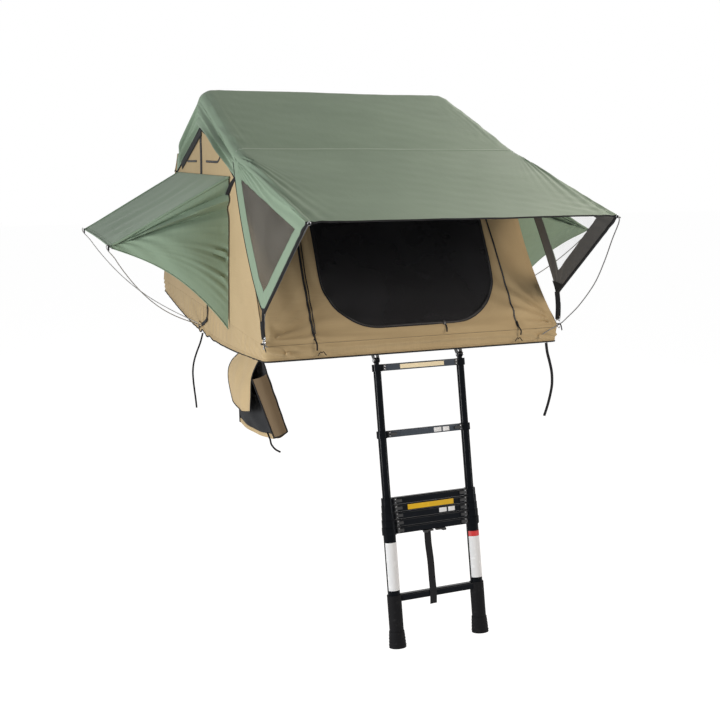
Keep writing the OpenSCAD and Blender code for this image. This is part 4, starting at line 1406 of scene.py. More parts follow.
    def side_relief(self, u: Array, v: Array) -> Array:
        """Folds of a side wall, which stay under the fly's flap."""
        low, inset = self.wall_foot[1], 0.03
        fan = pulls(u, v, (inset, low), 11.0, 0.25, 1.0) + 0.7 * pulls(u, v, self.roof_eave, 12.0, 0.3, 0.6)
        fan = fan + pulls(u, v, (self.tent.length - inset, low), 11.0, 0.25)
        drape = waves(u, v, 0.4, 31, 0.0, 35.0)
        under = 1.0 - ease((v - 0.70) / 0.05)
        swell = ease((v - low) / 0.03) * (0.0004 + under * (0.0016 + 0.0022 * fan + 0.0016 * drape))
        return swell - self.tent.side_in(u, v)

    def right_relief(self, u: Array, v: Array) -> Array:
        """Folds of the right wall, whose front corner is drawn in."""
        corner = self.wall_foot[0] + (v - self.wall_foot[1]) / math.tan(self.wall_slope)
        return self.side_relief(u, v) - self.corner_in(v) * (1.0 - ease((u - corner) / 0.30))

    def side_plane(self, side: Side) -> WallPlane:
        """The plane of a side wall, with d and h as its flat coordinates."""
        origin = self.tent.at(side.value * self.tent.wall_x, 0.0, 0.0)
        relief = self.right_relief if side is Side.RIGHT else self.side_relief
        return WallPlane(origin, BACKWARDS, UPWARDS, side.out, relief)

    def build_side(self, side: Side) -> None:
        """A side wall with its window."""
        plane, word = self.side_plane(side), side.word
        middle = (self.tent.half_length, self.middle_height)
        wall = plane.patch(between(self.window_line(CLEAR), self.gable_line(), middle, 240, 30))
        self.fitter.cloth(f"{word}_wall_canvas", [wall], [Finish.CANVAS], self.thick, Body.CANOPY, Slot.TAN,
                          f"{word}_wall", rests_on=["canopy_roof_canvas"])
        net = plane.patch(shrunk(self.window_line(-CLEAR), middle, 16))
        self.fitter.cloth(f"{word}_window_net", [net], [Finish.NET], NET_THICK, Body.CANOPY, Slot.NET,
                          "window_meshes", rests_on=[f"{word}_wall_canvas"])

    def build_roof(self) -> None:
        """The canopy's roof over the three bows, as one sheet."""
        tent = self.tent
        eave, peak = np.array(self.roof_eave), np.array(self.roof_peak)
        back = np.array([tent.length - eave[0], eave[1]])
        line = spaced(rounded([eave, peak, back], 0.05, 9), 70)
        x = self.roof_half * crowded(91, 1.7)
        share = np.abs(line[:, 0] - tent.half_length) / (tent.half_length - eave[0])
        radius = mix(self.peak_round, self.eave_round, share)[:, None]
        drop = self.round_share * fall(np.abs(x)[None, :], self.roof_half, radius)
        inward = 1.0 - tent.lean(line[:, :1]) / self.roof_half
        points = tent.at(x[None, :] * inward, line[:, :1], line[:, 1:] + self.layer - drop)
        self.fitter.cloth("canopy_roof_canvas", [Patch(points).facing(UPWARDS)], [Finish.CANVAS], self.thick,
                          Body.CANOPY, Slot.TAN, "canopy_roof",
                          rests_on=["ridge_bow_crossbar", "front_bow_crossbar"])

    def end_zips(self) -> list[ZipRun]:
        """Zips on the front wall: round the door, and one beside each edge."""
        left = [(-0.474, 0.70), (-0.484, 0.49), (-0.4877, 0.31), (-0.487, 0.10), (-0.482, 0.012)]
        seam = [(-0.460, 0.70), (-0.471, 0.49), (-0.4755, 0.31), (-0.475, 0.040)]
        right = [(0.440, 0.74), (0.447, 0.54), (0.492, 0.014)]
        runs = [ZipRun(self.door_line(0.003), 0.015, True)]
        for line, width in ((left, 0.010), (seam, 0.0022), (right, 0.008)):
            runs.append(ZipRun(spaced(line, 40), width))
        return runs

    def gable_zips(self) -> list[ZipRun]:
        """Zips on a side wall: up its middle, round the window, and an L on each side of the middle."""
        middle = self.tent.half_length
        runs = [ZipRun(spaced([(middle, 0.62), (middle, 1.05)], 24), 0.050)]
        runs.append(ZipRun(self.window_line(0.006), 0.018, True))
        for way in ENDS:
            corner = [(middle + way * near, h) for near, h in ((0.13, 0.808), (0.42, 0.806), (0.49, 0.842))]
            runs.append(ZipRun(spaced(rounded(corner, 0.03), 30), 0.011))
        return runs

    def build_zips(self) -> None:
        """Tapes and teeth of all the zips."""
        tapes, teeth = SolidMesh(), []
        planes = [(self.front, self.end_zips())]
        planes += [(self.side_plane(side), self.gable_zips()) for side in Side]
        planes.append((self.rear, [ZipRun(spaced([(0.0, 0.05), (0.0, 0.78)], 40))]))
        for plane, runs in planes:
            for run in runs:
                path = plane.point(run.line, 0.0010)
                tapes.strap(path, run.width, self.tape_thick, plane.out, 0, run.closed)
                row = np.vstack([path, path[:1]]) if run.closed else path
                teeth.append((row + 0.0009 * plane.out, plane.out))
        self.fitter.solid(tapes, "zip_tapes", [Finish.BINDING], Body.CANOPY, Slot.TAN)
        self.fitter.row("zip_teeth", teeth, self.teeth, Finish.ZIP, Body.CANOPY, Slot.PLASTIC)

    def build_pullers(self) -> None:
        """The door's zip puller with a cord tail, the other zips' tails and the small ties at their feet."""
        mesh, out, width, thick = SolidMesh(), self.front.out, 0.007, 0.002
        place = self.front.point(np.array([0.125, 0.052]), 0.004)
        mesh.block(place, (0.011, 0.020, 0.005), 0.0015, Matrix.Rotation(self.wall_slope, 3, "X"), 0)
        tail = place + np.outer(steps(6), -0.045 * self.front.up + 0.004 * out)
        tail[:, 0] += 0.006 * np.sin(steps(6, 0.0, 3.0))
        mesh.strap(tail, width, thick, out, 1)
        for u, low in ((-0.480, 0.036), (0.494, 0.042)):
            head = self.front.point(np.array([[u - 0.003, 0.04], [u, 0.010]]), 0.006)
            foot = self.tent.all_at(((u + 0.002, -0.017, 0.062), (u + 0.003, -0.015, low)))
            mesh.strap(smooth_path(np.vstack([head, foot]), 16), width, thick, out, 1)
        swing = steps(9)
        bow = 0.006 * np.sin(5.0 * swing) - 0.004 * swing
        for u in (-0.455, 0.487):
            for way in ENDS:
                bend = np.stack([way * 0.020 * swing, -0.003 * swing, bow], axis=1)
                mesh.tube(self.tent.at(u, -0.012, 0.024) + bend, 0.0019, 1, 6)
        self.fitter.solid(mesh, "zip_pullers", [Finish.ZIP, Finish.WEBBING], Body.CANOPY, Slot.PLASTIC)


WING_FOOT = {Side.LEFT: (-0.015, 0.208), Side.RIGHT: (0.030, 0.212)}
WING_BANDS = {Side.LEFT: (0.058, 0.055, 0.062), Side.RIGHT: (0.058, 0.084, 0.070)}
WING_BULGE = {Side.LEFT: 0.066, Side.RIGHT: 0.036}
WING_NETS = {Side.LEFT: Finish.WING_NET, Side.RIGHT: Finish.CLEAR_NET}

# Lengths of a foot patch along the wing's front and rear edge, its lift, and its strap's width
WING_PATCH = {Side.LEFT: (0.030, 0.024, 0.0022, 0.013), Side.RIGHT: (0.085, 0.070, -0.0028, 0.024)}

# Routes of the front wires in x, d and h, and the point at which each goes on as a thin cord
WIRE_SPLIT = {Side.LEFT: 66, Side.RIGHT: 108}
WIRE_ROUTES = {
    Side.LEFT: (
        (-0.656, -0.466, 0.594), (-0.668, -0.300, 0.463), (-0.683, -0.150, 0.330), (-0.696, -0.012, 0.210),
        (-0.7005, -0.006, 0.160), (-0.7005, -0.006, 0.080), (-0.690, -0.004, 0.064), (-0.660, -0.004, 0.062),
        (-0.630, -0.005, 0.060), (-0.612, -0.006, 0.048), (-0.604, -0.008, 0.030)),
    Side.RIGHT: (
        (0.655, -0.478, 0.600), (0.663, -0.474, 0.575), (0.690, -0.398, 0.500), (0.726, -0.296, 0.390),
        (0.749, -0.200, 0.286), (0.748, -0.095, 0.178), (0.727, -0.030, 0.110), (0.705, -0.010, 0.080),
        (0.640, -0.008, 0.050), (0.604, -0.008, 0.030)),
}


@dataclass
class Fly(Assembly):
    """The green fly: a sheet from the rear hem over the ridge to the awning's edge, flaps and wings."""

    peak: Pair = (1.2, 1.1659)
    crease: Pair = (0.4422, 0.8633)
    edge: Pair = (-0.466, 0.6)
    rear_run: Pair = (-0.11, -0.085)
    half: float = 0.7025
    edge_half: float = 0.662
    peak_round: float = 0.072
    crease_round: float = 0.047
    edge_round: float = 0.001
    round_share: float = 0.8
    sag: float = 0.014
    layer: float = 0.002
    thick: float = 0.0014
    hem_ridge: float = 0.968
    hem_bow: float = 0.739
    flap_reach: float = 0.027
    piping: float = 0.0032
    wing_piping: Pair = (0.0062, 0.0022)
    wire: float = 0.0024
    trim_points: int = 90

    def build(self) -> None:
        """Makes and dresses every piece of the fly."""
        self.build_sheet()
        for side in Side:
            self.build_flap(side)
            self.build_wing(side)
            self.build_foot_patch(side)
            self.build_tie(side)
        self.build_wires()
        self.build_trim()
        self.build_corner_ties()

    @property
    def rear_crease(self) -> Pair:
        """The crease over the rear bow in d and h."""
        return self.tent.length - self.crease[0], self.crease[1]

    @property
    def rear_hem(self) -> Pair:
        """The rear hem in d and h."""
        return self.rear_crease[0] - self.rear_run[0], self.rear_crease[1] + self.rear_run[1]

    def centre_line(self) -> Array:
        """The sheet's line in d and h, from the rear hem to the awning's edge."""
        corners = [self.rear_hem, self.rear_crease, self.peak, self.crease, self.edge]
        return spaced(rounded(corners, 0.035, 9), 190)

    def surface(self, d: Array | float, h: Array | float, s: Array) -> Array:
        """Points of the sheet.

        Args:
            d: distance back of the sheet's line.
            h: its height.
            s: share of the half width, from -1 to 1.

        Returns:
            Points in the frame's axes.
        """
        out = np.clip((self.crease[0] - d) / (self.crease[0] - self.edge[0]), 0.0, 1.0)
        over_roof = np.clip(np.abs(d - self.peak[0]) / (self.peak[0] - self.crease[0]), 0.0, 1.0)
        half = mix(self.half, self.edge_half, out) - self.tent.lean(d)
        radius = mix(mix(self.peak_round, self.crease_round, over_roof), self.edge_round, out)
        x = half * s
        drop = self.round_share * fall(x, half, radius) + self.sag * arch(out) * np.cos(math.pi / 2.0 * s)
        return self.tent.at(x, d, h + self.layer - drop + self.relief(x, d, half, out))

    def relief(self, x: Array, d: Array, half: Array, out: Array) -> Array:
        """Soft waves of the sheet, and folds that fan out from the bow's ends along the awning's sides.

        Args:
            x: place across the sheet.
            d: distance back.
            half: the sheet's half width there.
            out: share of the way from the crease to the awning's edge.

        Returns:
            Heights over the smooth sheet.
        """
        inward, ahead = half - np.abs(x), self.crease[0] - d
        near = fade(inward, 0.05)
        broad = 0.0022 * waves(x, d, 0.42, 3) + 0.0007 * waves(x, d, 0.13, 4)
        fan = np.cos(84.0 * np.arctan2(inward + 0.004, ahead + 0.02) + 9.0 * inward) * near
        fan = fan * ease(ahead / 0.12) * ease(inward / 0.012) * (1.0 - 0.4 * out)
        roof = near * waves(d, 1.5 * inward, 0.09, 8, 60.0, 20.0)
        roof = roof * ease(-ahead / 0.05) * ease((1.9 - d) / 0.12)
        along = np.cos(210.0 * inward + 1.5 * np.sin(9.0 * d)) * near * ease(-ahead / 0.1)
        roof = roof + 0.5 * along * ease((1.1 - d) / 0.12)
        corner = fade(np.hypot(inward, d - self.edge[0]), 0.12) * np.sin(60.0 * (d + np.abs(x)))
        corner = corner * ease(out / 0.2) * ease(inward / 0.03) * ease((1.0 - out) / 0.1)
        return broad + 0.0070 * fan + 0.004 * roof + 0.004 * corner

    def cloth(self, name: str, patch: Patch, *nodes: str, held: str = "stretched",
              rests_on: Sequence[str] = ()) -> None:
        """A piece of the fly's green cloth with its grey lining."""
        self.fitter.cloth(name, [patch], [Finish.FLY, Finish.LINING], self.thick, Body.CANOPY, Slot.GREEN,
                          *nodes, held=held, rests_on=rests_on)

    def build_sheet(self) -> None:
        """The sheet itself."""
        line = self.centre_line()
        patch = Patch(self.surface(line[:, :1], line[:, 1:], crowded(151, 1.6)[None, :])).facing(UPWARDS)
        self.cloth("fly_sheet", patch, "fly_front", "fly_rear",
                   rests_on=["canopy_roof_canvas", "front_awning_wires"])

    def flap_point(self, side: Side, d: Array, t: Array) -> Array:
        """Points of a side flap.

        Args:
            side: the tent's side.
            d: distance back.
            t: share of the way from under the sheet's edge to the hem.

        Returns:
            Points in the frame's axes.
        """
        share = np.abs(d - self.peak[0]) / (self.peak[0] - self.crease[0])
        within = np.clip(share, 0.0, 1.0)
        behind = d > self.peak[0]
        radius = mix(self.peak_round, self.crease_round, within)
        top = mix(self.peak[1], self.crease[1], share) - self.round_share * radius + 0.002
        bow = np.where(d < self.peak[0], 0.030, 0.004)
        hem = mix(self.hem_ridge, self.hem_bow, share) + bow * arch(within)
        h = mix(top, hem, t)
        folds = waves(0.16 * t, 0.10 * share, 0.052, 14 + side.value, 0.0, 12.0)
        folds = folds * np.where(behind, ease((1.02 - share) / 0.35), 1.0)
        swell = 0.008 + 0.023 * folds * ease(t / 0.15) * (0.5 + 0.5 * within) + 0.004 * t
        swell = np.maximum(0.0, swell) * (0.3 + 0.7 * ease((1.0 - share) / 0.4)) * ease((1.02 - share) / 0.07)
        out = self.half - 0.001 - self.tent.side_in(d, h) + swell * ease(t / 0.08)
        return self.tent.at(side.value * out, d, h)

    @property
    def flap_ends(self) -> Pair:
        """Front and rear ends of a flap."""
        return self.crease[0] - self.flap_reach, self.rear_crease[0] + 0.01

    def build_flap(self, side: Side) -> None:
        """A side flap over the gable."""
        d, t = np.linspace(*self.flap_ends, 121), steps(36)
        patch = Patch(self.flap_point(side, d[None, :], t[:, None])).facing(side.out)
        self.cloth(f"{side.word}_fly_flap", patch, "fly_side_flaps", held="hung", rests_on=["fly_sheet"])

    def wing_corners(self, side: Side) -> Array:
        """A front wing's corners in d and h: at the crease, at the awning's edge and at its foot."""
        top = (self.crease[0] + 0.033, self.crease[1] - self.round_share * self.crease_round + 0.0105)
        tip = (self.edge[0] + 0.002, self.edge[1] - self.round_share * self.edge_round + 0.001)
        return np.array([top, tip, WING_FOOT[side]])

    def wing_point(self, side: Side, dh: Array) -> Array:
        """Points of a front wing, on a plane that leans in towards the awning's edge.

        Args:
            side: the tent's side.
            dh: d and h of each point.

        Returns:
            Points in the frame's axes.
        """
        top, tip, low = self.wing_corners(side)
        d, h = dh[..., 0], dh[..., 1]
        share = np.linalg.solve(np.stack([tip - top, low - top], axis=1), (dh - top)[..., None])[..., 0]
        out, down = share[..., 0], share[..., 1]
        x = self.half - 0.002 + out * (self.edge_half - self.half + 0.002) + down * 0.0055
        x = x + WING_BULGE[side] * np.maximum(0.0, down) * np.maximum(0.0, 1.0 - out - down) ** 0.75
        ahead = top[0] - d
        below = mix(top[1], tip[1], ahead / (top[0] - tip[0])) - h
        turn = np.arctan2(below, ahead + 0.02)
        fan = np.cos(95.0 * turn + 2.0 * np.sin(9.0 * ahead)) * fade(below, 0.05) * ease(below / 0.008)
        folds = 0.0045 * fan * ease(ahead / 0.16) + 0.003 * pulls(d, h, low, 14.0, 0.2)
        return self.tent.at(side.value * (x + folds), d, h)

    def inner_corners(self, side: Side) -> Array:
        """Corners of the mesh field inside a wing's border.

        Args:
            side: the left or the right.

        Returns:
            Four corners in the wing's plane.
        """
        corners = self.wing_corners(side)
        middle = corners.mean(axis=0)
        lines = []
        for start, end, band in zip(corners, np.roll(corners, -1, axis=0), WING_BANDS[side]):
            along = unit(end - start)
            inward = np.array([-along[1], along[0]])
            lines.append((start + band * inward * np.sign(inward @ (middle - start)), along))
        found = []
        for (p, r), (q, s) in zip(lines[2:] + lines[:2], lines):
            found.append(p + np.linalg.solve(np.stack([r, -s], axis=1), q - p)[0] * r)
        return np.array(found)

    def build_wing(self, side: Side) -> None:
        """A front wing: a cloth border and a mesh field.

        Args:
            side: the left or the right.
        """
        run = np.linspace(0.0, 1.0, 80, endpoint=False)[:, None]
        outer, inner = (np.vstack([mix(a, b, run) for a, b in zip(corners, np.roll(corners, -1, axis=0))])
                        for corners in (self.wing_corners(side), self.inner_corners(side)))
        border = Patch(self.wing_point(side, bridge(outer, inner, 19)), closed=True).facing(side.out)
        self.cloth(f"{side.word}_wing_border", border, f"{side.word}_awning_wing",
                   rests_on=["fly_sheet", "awning_ties"])
        rings = shrunk(inner, inner.mean(axis=0), 14)
        net = Patch(self.wing_point(side, rings), closed=True).facing(side.out)
        self.fitter.cloth(f"{side.word}_wing_net", [net], [WING_NETS[side]], NET_THICK, Body.CANOPY, Slot.NET,
                          rests_on=[f"{side.word}_wing_border"])

    def build_foot_patch(self, side: Side) -> None:
        """The black patch at a wing's foot."""
        top, tip, low = self.wing_corners(side)
        ahead_long, back_long, lift, _ = WING_PATCH[side]
        run = steps(8, 0.05, 1.0)[:, None]
        ahead, back = low + ahead_long * run * unit(tip - low), low + back_long * run * unit(top - low)
        grid = np.stack([mix(ahead, back, t) for t in steps(9, -0.08, 1.08)])
        patch = Patch(self.wing_point(side, grid) + lift * side.out).facing(side.out)
        self.fitter.cloth(f"{side.word}_wing_patch", [patch], [Finish.BINDING], 0.0016, Body.CANOPY,
                          Slot.WEBBING, rests_on=[f"{side.word}_wing_border"])

    def build_tie(self, side: Side) -> None:
        """The strap with buckle and hook that ties a wing's foot to the base.

        Args:
            side: the left or the right.
        """
        tent, mesh, out, lay = self.tent, SolidMesh(), side.out, (-0.8, -0.6, 0.0)
        low = self.wing_corners(side)[2]
        foot = self.wing_point(side, low + [0.0, 0.012])
        ring_d = min(low[0], 0.012)

        def route(points: Sequence[Place], count: int) -> Array:
            """A smooth path through places beside the ring."""
            return tent.route([(side.value * x, ring_d + 0.005 + d, h) for x, d, h in points], count)

        drop = steps(24)
        end = tent.at(side.value * 0.7045, ring_d, 0.098)
        path = foot + np.outer(drop, end - foot) + np.outer(0.004 * arch(drop), out)
        mesh.strap(path, WING_PATCH[side][3], 0.0026, lay)
        mesh.strap(path[9:] + 0.0025 * out, 0.021, 0.004, lay)
        for h, tall in ((0.104, 0.009), (0.086, 0.008)):
            frame = squared(circle(1.0, 24), 0.5) @ np.stack([0.016 * BACKWARDS, tall * UPWARDS])
            mesh.tube(tent.at(side.value * 0.706, ring_d, h) + frame, 0.0018, 1, closed=True)
        mesh.block(tent.at(side.value * 0.707, ring_d, 0.112), (0.004, 0.030, 0.010), 0.0012)
        hook = ((0.706, -0.005, 0.078), (0.707, -0.003, 0.066), (0.710, -0.012, 0.058),
                (0.709, -0.020, 0.066))
        mesh.tube(route(hook, 20), 0.002, 1)
        for way in ENDS:
            tail = ((0.706, way * 0.004, 0.076), (0.711, way * 0.022, 0.074),
                    (0.708, way * 0.040, 0.062 + 0.01 * way))
            mesh.strap(route(tail, 14), 0.008, 0.002, out)
        self.fitter.solid(mesh, f"{side.word}_wing_tie", [Finish.WEBBING, Finish.PLATED], Body.CANOPY,
                          Slot.WEBBING, "awning_straps")

    def build_wires(self) -> None:
        """Bent spring wires out to the awning's corners: the left one runs behind its wing's front edge."""
        mesh = SolidMesh()
        for side, points in WIRE_ROUTES.items():
            path, split = self.tent.route(points, 110), WIRE_SPLIT[side]
            mesh.tube(path[:split + 1], self.wire)
            mesh.tube(path[split:], 0.5 * self.wire, 1)
        self.fitter.solid(mesh, "front_awning_wires", [Finish.DARK_WIRE, Finish.FITTING_TAN], Body.CANOPY,
                          Slot.WIRE, "front_awning_rods")

    def build_trim(self) -> None:
        """Piping, the seams over the creases in a paler green that is painted highlight, and stitches."""
        trim, stitches = SolidMesh(), []
        s = steps(self.trim_points, -1.0, 1.0)
        trim.tube(self.surface(*self.edge, s) + [0.0, -0.001, -0.0015], self.piping)
        trim.tube(self.surface(*self.rear_hem, s), self.piping)
        for way, d in zip(ENDS, (self.crease[0], self.rear_crease[0])):
            seam = self.surface(d, self.crease[1] - 0.001, 0.985 * s) + 0.0012 * UPWARDS
            trim.strap(seam, 0.015, 0.0022, (0.0, 0.3 * way, 1.0), 2)
            stitches += [(seam + [0.0, off, 0.0014], UPWARDS) for off in (-0.005, 0.005)]
        for side in Side:
            self.add_side_trim(side, trim)
            inner, run = self.inner_corners(side), steps(50)[:, None]
            for a, b in zip(inner, np.roll(inner, -1, axis=0)):
                stitches.append((self.wing_point(side, mix(a, b, run)) + 0.001 * side.out, side.out))
            row = self.surface(*self.centre_line().T, side.value * 0.965)
            stitches.append((row + 0.0006 * UPWARDS, UPWARDS))
        self.fitter.solid(trim, "fly_piping", [Finish.BINDING, Finish.FLY, Finish.SEAM], Body.CANOPY,
                          Slot.GREEN)
        self.fitter.row("fly_stitches", stitches, STITCH, Finish.FLY, Body.CANOPY, Slot.GREEN)

    def add_side_trim(self, side: Side, trim: SolidMesh) -> None:
        """Adds the piping of a flap's hem and a wing's edges, and a black strip under the flap that is
        painted shadow where the flap stands off the wall.

        Args:
            side: the left or the right.
            trim: the mesh that takes them.
        """
        d = np.linspace(*self.flap_ends, 110)
        trim.tube(self.flap_point(side, d, np.ones_like(d)), self.piping)
        top, tip, low = self.wing_corners(side)
        run = steps(50)[:, None]
        trim.tube(self.wing_point(side, mix(tip, low, run)), self.wing_piping[0])
        # Painted shadow: a black strip just under the flap's rear hem.
        dark = spaced([(1.165, 0.952), (1.20, 0.952), (1.32, 0.915), (1.52, 0.858), (1.78, 0.782)], 40)
        beside = side.value * (self.half + 0.003 - self.tent.side_in(*dark.T))
        trim.strap(self.tent.at(beside, *dark.T), 0.044, 0.002, side.out)
        trim.tube(self.wing_point(side, mix(low, top, run * 0.97)), self.wing_piping[1])

    def build_corner_ties(self) -> None:
        """Rings and loops at the awning's corners, and ties at the flaps' ends."""
        mesh = SolidMesh()
        for side in Side:
            corner = self.tent.at(side.value * (self.edge_half - 0.006), self.edge[0] - 0.002,
                                  self.edge[1] - 0.003)
            ring = circle(0.006, 20) @ np.stack([RIGHTWARDS, UPWARDS])
            mesh.tube(corner + ring - 0.004 * BACKWARDS, 0.0015, 1, closed=True)
            loop = np.linspace((-0.035 * side.value, 0.012, 0.004), (0.012 * side.value, -0.008, -0.004), 8)
            mesh.strap(corner + loop, 0.014, 0.002, (0.0, -0.3, 1.0))
            for way, end in zip(ENDS, self.flap_ends):
                top = self.flap_point(side, np.array(end), np.array(1.0))
                path = ((0.0, way * 0.006, 0.012), (side.value * 0.006, -way * 0.07, -0.022),
                        (side.value * 0.010, -way * 0.15, -0.078))
                mesh.strap(smooth_path(top + np.array(path), 14), 0.018, 0.003, (0.3 * side.value, way, 0.0))
        self.fitter.solid(mesh, "fly_corner_ties", [Finish.WEBBING, Finish.PLATED], Body.CANOPY, Slot.WEBBING)


@dataclass
class WindowAwning(Assembly):
    """A window awning on one side: a sagging sheet with a wing at each end, on two bent wires."""

    side: Side
    seam_x: float = 0.7045
    seam_h: float = 0.740
    sheet_x: float = 0.7088
    seam_half: float = 0.668
    foot_half: float = 0.590
    edge_half: float = 0.554
    wing_feet: Pair = (0.039, 0.27)
    wing_reach: float = 0.985
    wing_hollow: float = 0.075
    thick: float = 0.0014
    layer: float = 0.002
    wire: float = 0.0025

    def build(self) -> None:
        """Makes and dresses the awning."""
        left = self.side is Side.LEFT
        self.body = Body.LEFT_AWNING if left else Body.RIGHT_AWNING
        self.tip = (1.230, 0.435) if left else (1.272, 0.452)
        self.build_cloth()
        self.build_hems()
        self.build_wires()

    def point(self, s: Array | float, t: Array | float) -> Array:
        """Points of the sheet.

        Args:
            s: place along the seam, from -1 to 1.
            t: share of the way from the seam to the edge.

        Returns:
            Points in the frame's axes.
        """
        s, t = np.broadcast_arrays(np.asarray(s, float), t)
        d = self.tent.half_length + s * mix(self.seam_half, self.edge_half, t)
        belly = np.cos(math.pi / 2.0 * s)
        ripple = 0.004 * waves(0.62 * s, 0.5 * t, 0.26, 40 + self.side.value, 0.0, 40.0) * belly
        ripple = ripple * ease(t / 0.1) * ease((1.0 - t) / 0.2)
        fan = 0.004 * (pulls(s, t, (-1.0, 1.0), 14.0, 0.3) + pulls(s, t, (1.0, 1.0), 14.0, 0.3, 1.0))
        fan = fan * ease((1.0 - t) / 0.15)
        x = mix(self.sheet_x - self.tent.side_in(d, self.seam_h), self.tip[0], t) - 0.006 * t * belly
        h = mix(self.seam_h, self.tip[1], t) - 0.018 * arch(t) * belly + self.layer + ripple + fan
        return self.tent.at(self.side.value * x, d, h)

    def wing_point(self, end: float, s: Array, t: Array) -> Array:
        """Points of an end wing.

        Args:
            end: -1 for the front wing and 1 for the rear one.
            s: share of the way out from the wall.
            t: share of the way from the sheet's edge down to the wing's hem.

        Returns:
            Points in the frame's axes.
        """
        top, tip = self.point(end, s) - 0.003 * UPWARDS, self.point(end, 1.0) - 0.003 * UPWARDS
        foot_d, foot_h = self.tent.half_length + end * self.foot_half, self.wing_feet[end > 0]
        foot_x = self.side.value * (self.sheet_x - self.tent.side_in(foot_d, foot_h))
        foot = self.tent.at(foot_x, foot_d, foot_h)
        rise = self.wing_hollow * arch(s**0.85)
        low = mix(foot, tip, s[..., None]) + rise[..., None] * UPWARDS
        gathers = waves(0.68 * t + 0.03 * s, 0.1 * s, 0.05, 50, 0.0, 10.0) * fade(s, 0.19) * ease(s / 0.02)
        gathers = gathers * bell(t - 0.55, 0.24) * arch(np.clip(t, 0.02, 0.98)) ** 0.4
        fan = pulls(s, 0.8 * t, (1.0, 0.0), 22.0, 0.5, 0.7)
        line = t - 0.20 - 0.05 * s
        groove = bell(line, 0.034) + 0.7 * bell(line + 0.105, 0.022) - 0.5 * bell(line + 0.06, 0.03)
        billow = 0.017 * gathers + 0.006 * fan - 0.030 * groove * ease((0.95 - s) / 0.3)
        hollow = 0.036 * arch(t) * arch(np.clip(1.1 * s, 0.0, 1.0)) ** 1.3
        return mix(top, low, t[..., None]) + end * (billow + hollow)[..., None] * BACKWARDS

    def build_cloth(self) -> None:
        """The sheet and its two wings."""
        patches = [Patch(self.point(*np.meshgrid(steps(91, -1.0, 1.0), steps(56)))).facing(UPWARDS)]
        for end in ENDS:
            grid = np.meshgrid(steps(64, 0.0, self.wing_reach), steps(50))
            patches.append(Patch(self.wing_point(end, *grid)).facing(end * BACKWARDS))
        word = self.side.word
        self.fitter.cloth(f"{word}_window_awning_cloth", patches, [Finish.FLY, Finish.LINING], self.thick,
                          self.body, Slot.GREEN, f"{word}_window_awning",
                          rests_on=[f"{word}_awning_wires", f"{word}_wall_canvas"])

    def build_hems(self) -> None:
        """Welts along the sheet's sides, the seam bead, edge hems, corner rings and stitches."""
        mesh, stitches, out = SolidMesh(), [], self.side.value
        run, s = steps(60), steps(80, -1.0, 1.0)
        for end in ENDS:
            mesh.tube(self.point(end, run) - 0.001 * UPWARDS, 0.0062, 0, 10)
            mesh.tube(self.wing_point(end, self.wing_reach * run, np.ones(60)), 0.0028)
            stitches.append((self.point(0.97 * end, run) + 0.0006 * UPWARDS, UPWARDS))
            tip = self.point(end, 1.0)
            ring = circle(0.010, 20) @ np.stack([BACKWARDS, UPWARDS]) + [out * 0.004, 0.0, -0.008]
            mesh.tube(tip + ring, 0.0028, 2, closed=True)
            tab = tip + np.outer(steps(7, -0.5, 0.5), [out * 0.006, -end * 0.05, 0.0]) + 0.004 * UPWARDS
            mesh.strap(tab, 0.014, 0.002, UPWARDS, 2)
        mesh.tube(self.point(s, 1.0), 0.0032)
        bead_d = self.tent.half_length + self.seam_half * s
        bead_x = self.seam_x - self.tent.side_in(bead_d, self.seam_h)
        mesh.tube(self.tent.at(out * bead_x, bead_d, self.seam_h), 0.004, 0, 10)
        stitches.append((self.point(s, 0.97) + 0.0006 * UPWARDS, UPWARDS))
        word = self.side.word
        self.fitter.solid(mesh, f"{word}_awning_hems", [Finish.FLY, Finish.PLATED, Finish.WEBBING], self.body,
                          Slot.GREEN)
        self.fitter.row(f"{word}_awning_stitches", stitches, STITCH, Finish.FLY, self.body, Slot.GREEN)

    def build_wires(self) -> None:
        """Two bent wires from the sheet's corners down to the side socket, each with a hook at its tip."""
        mesh, out, t = SolidMesh(), self.side.value, steps(48)
        for end in ENDS:
            tip = self.point(end, 1.0) + [0.0, 0.004 * end, -0.012]
            foot = self.tent.at(out * 0.715, self.tent.half_length + 0.06 + 0.03 * end, -0.04)
            bow = tip + np.outer(t, foot - tip) - np.outer(0.085 * arch(t**0.8), UPWARDS)
            hook = [(out * 0.010, 0.0, 0.022), (out * 0.014, 0.0, 0.012), (out * 0.008, 0.0, -0.004)]
            mesh.tube(smooth_path(np.vstack([tip + hook, bow[2:]]), 110), self.wire)
        self.fitter.solid(mesh, f"{self.side.word}_awning_wires", [Finish.WIRE], self.body, Slot.WIRE,
                          f"{self.side.word}_window_rods")


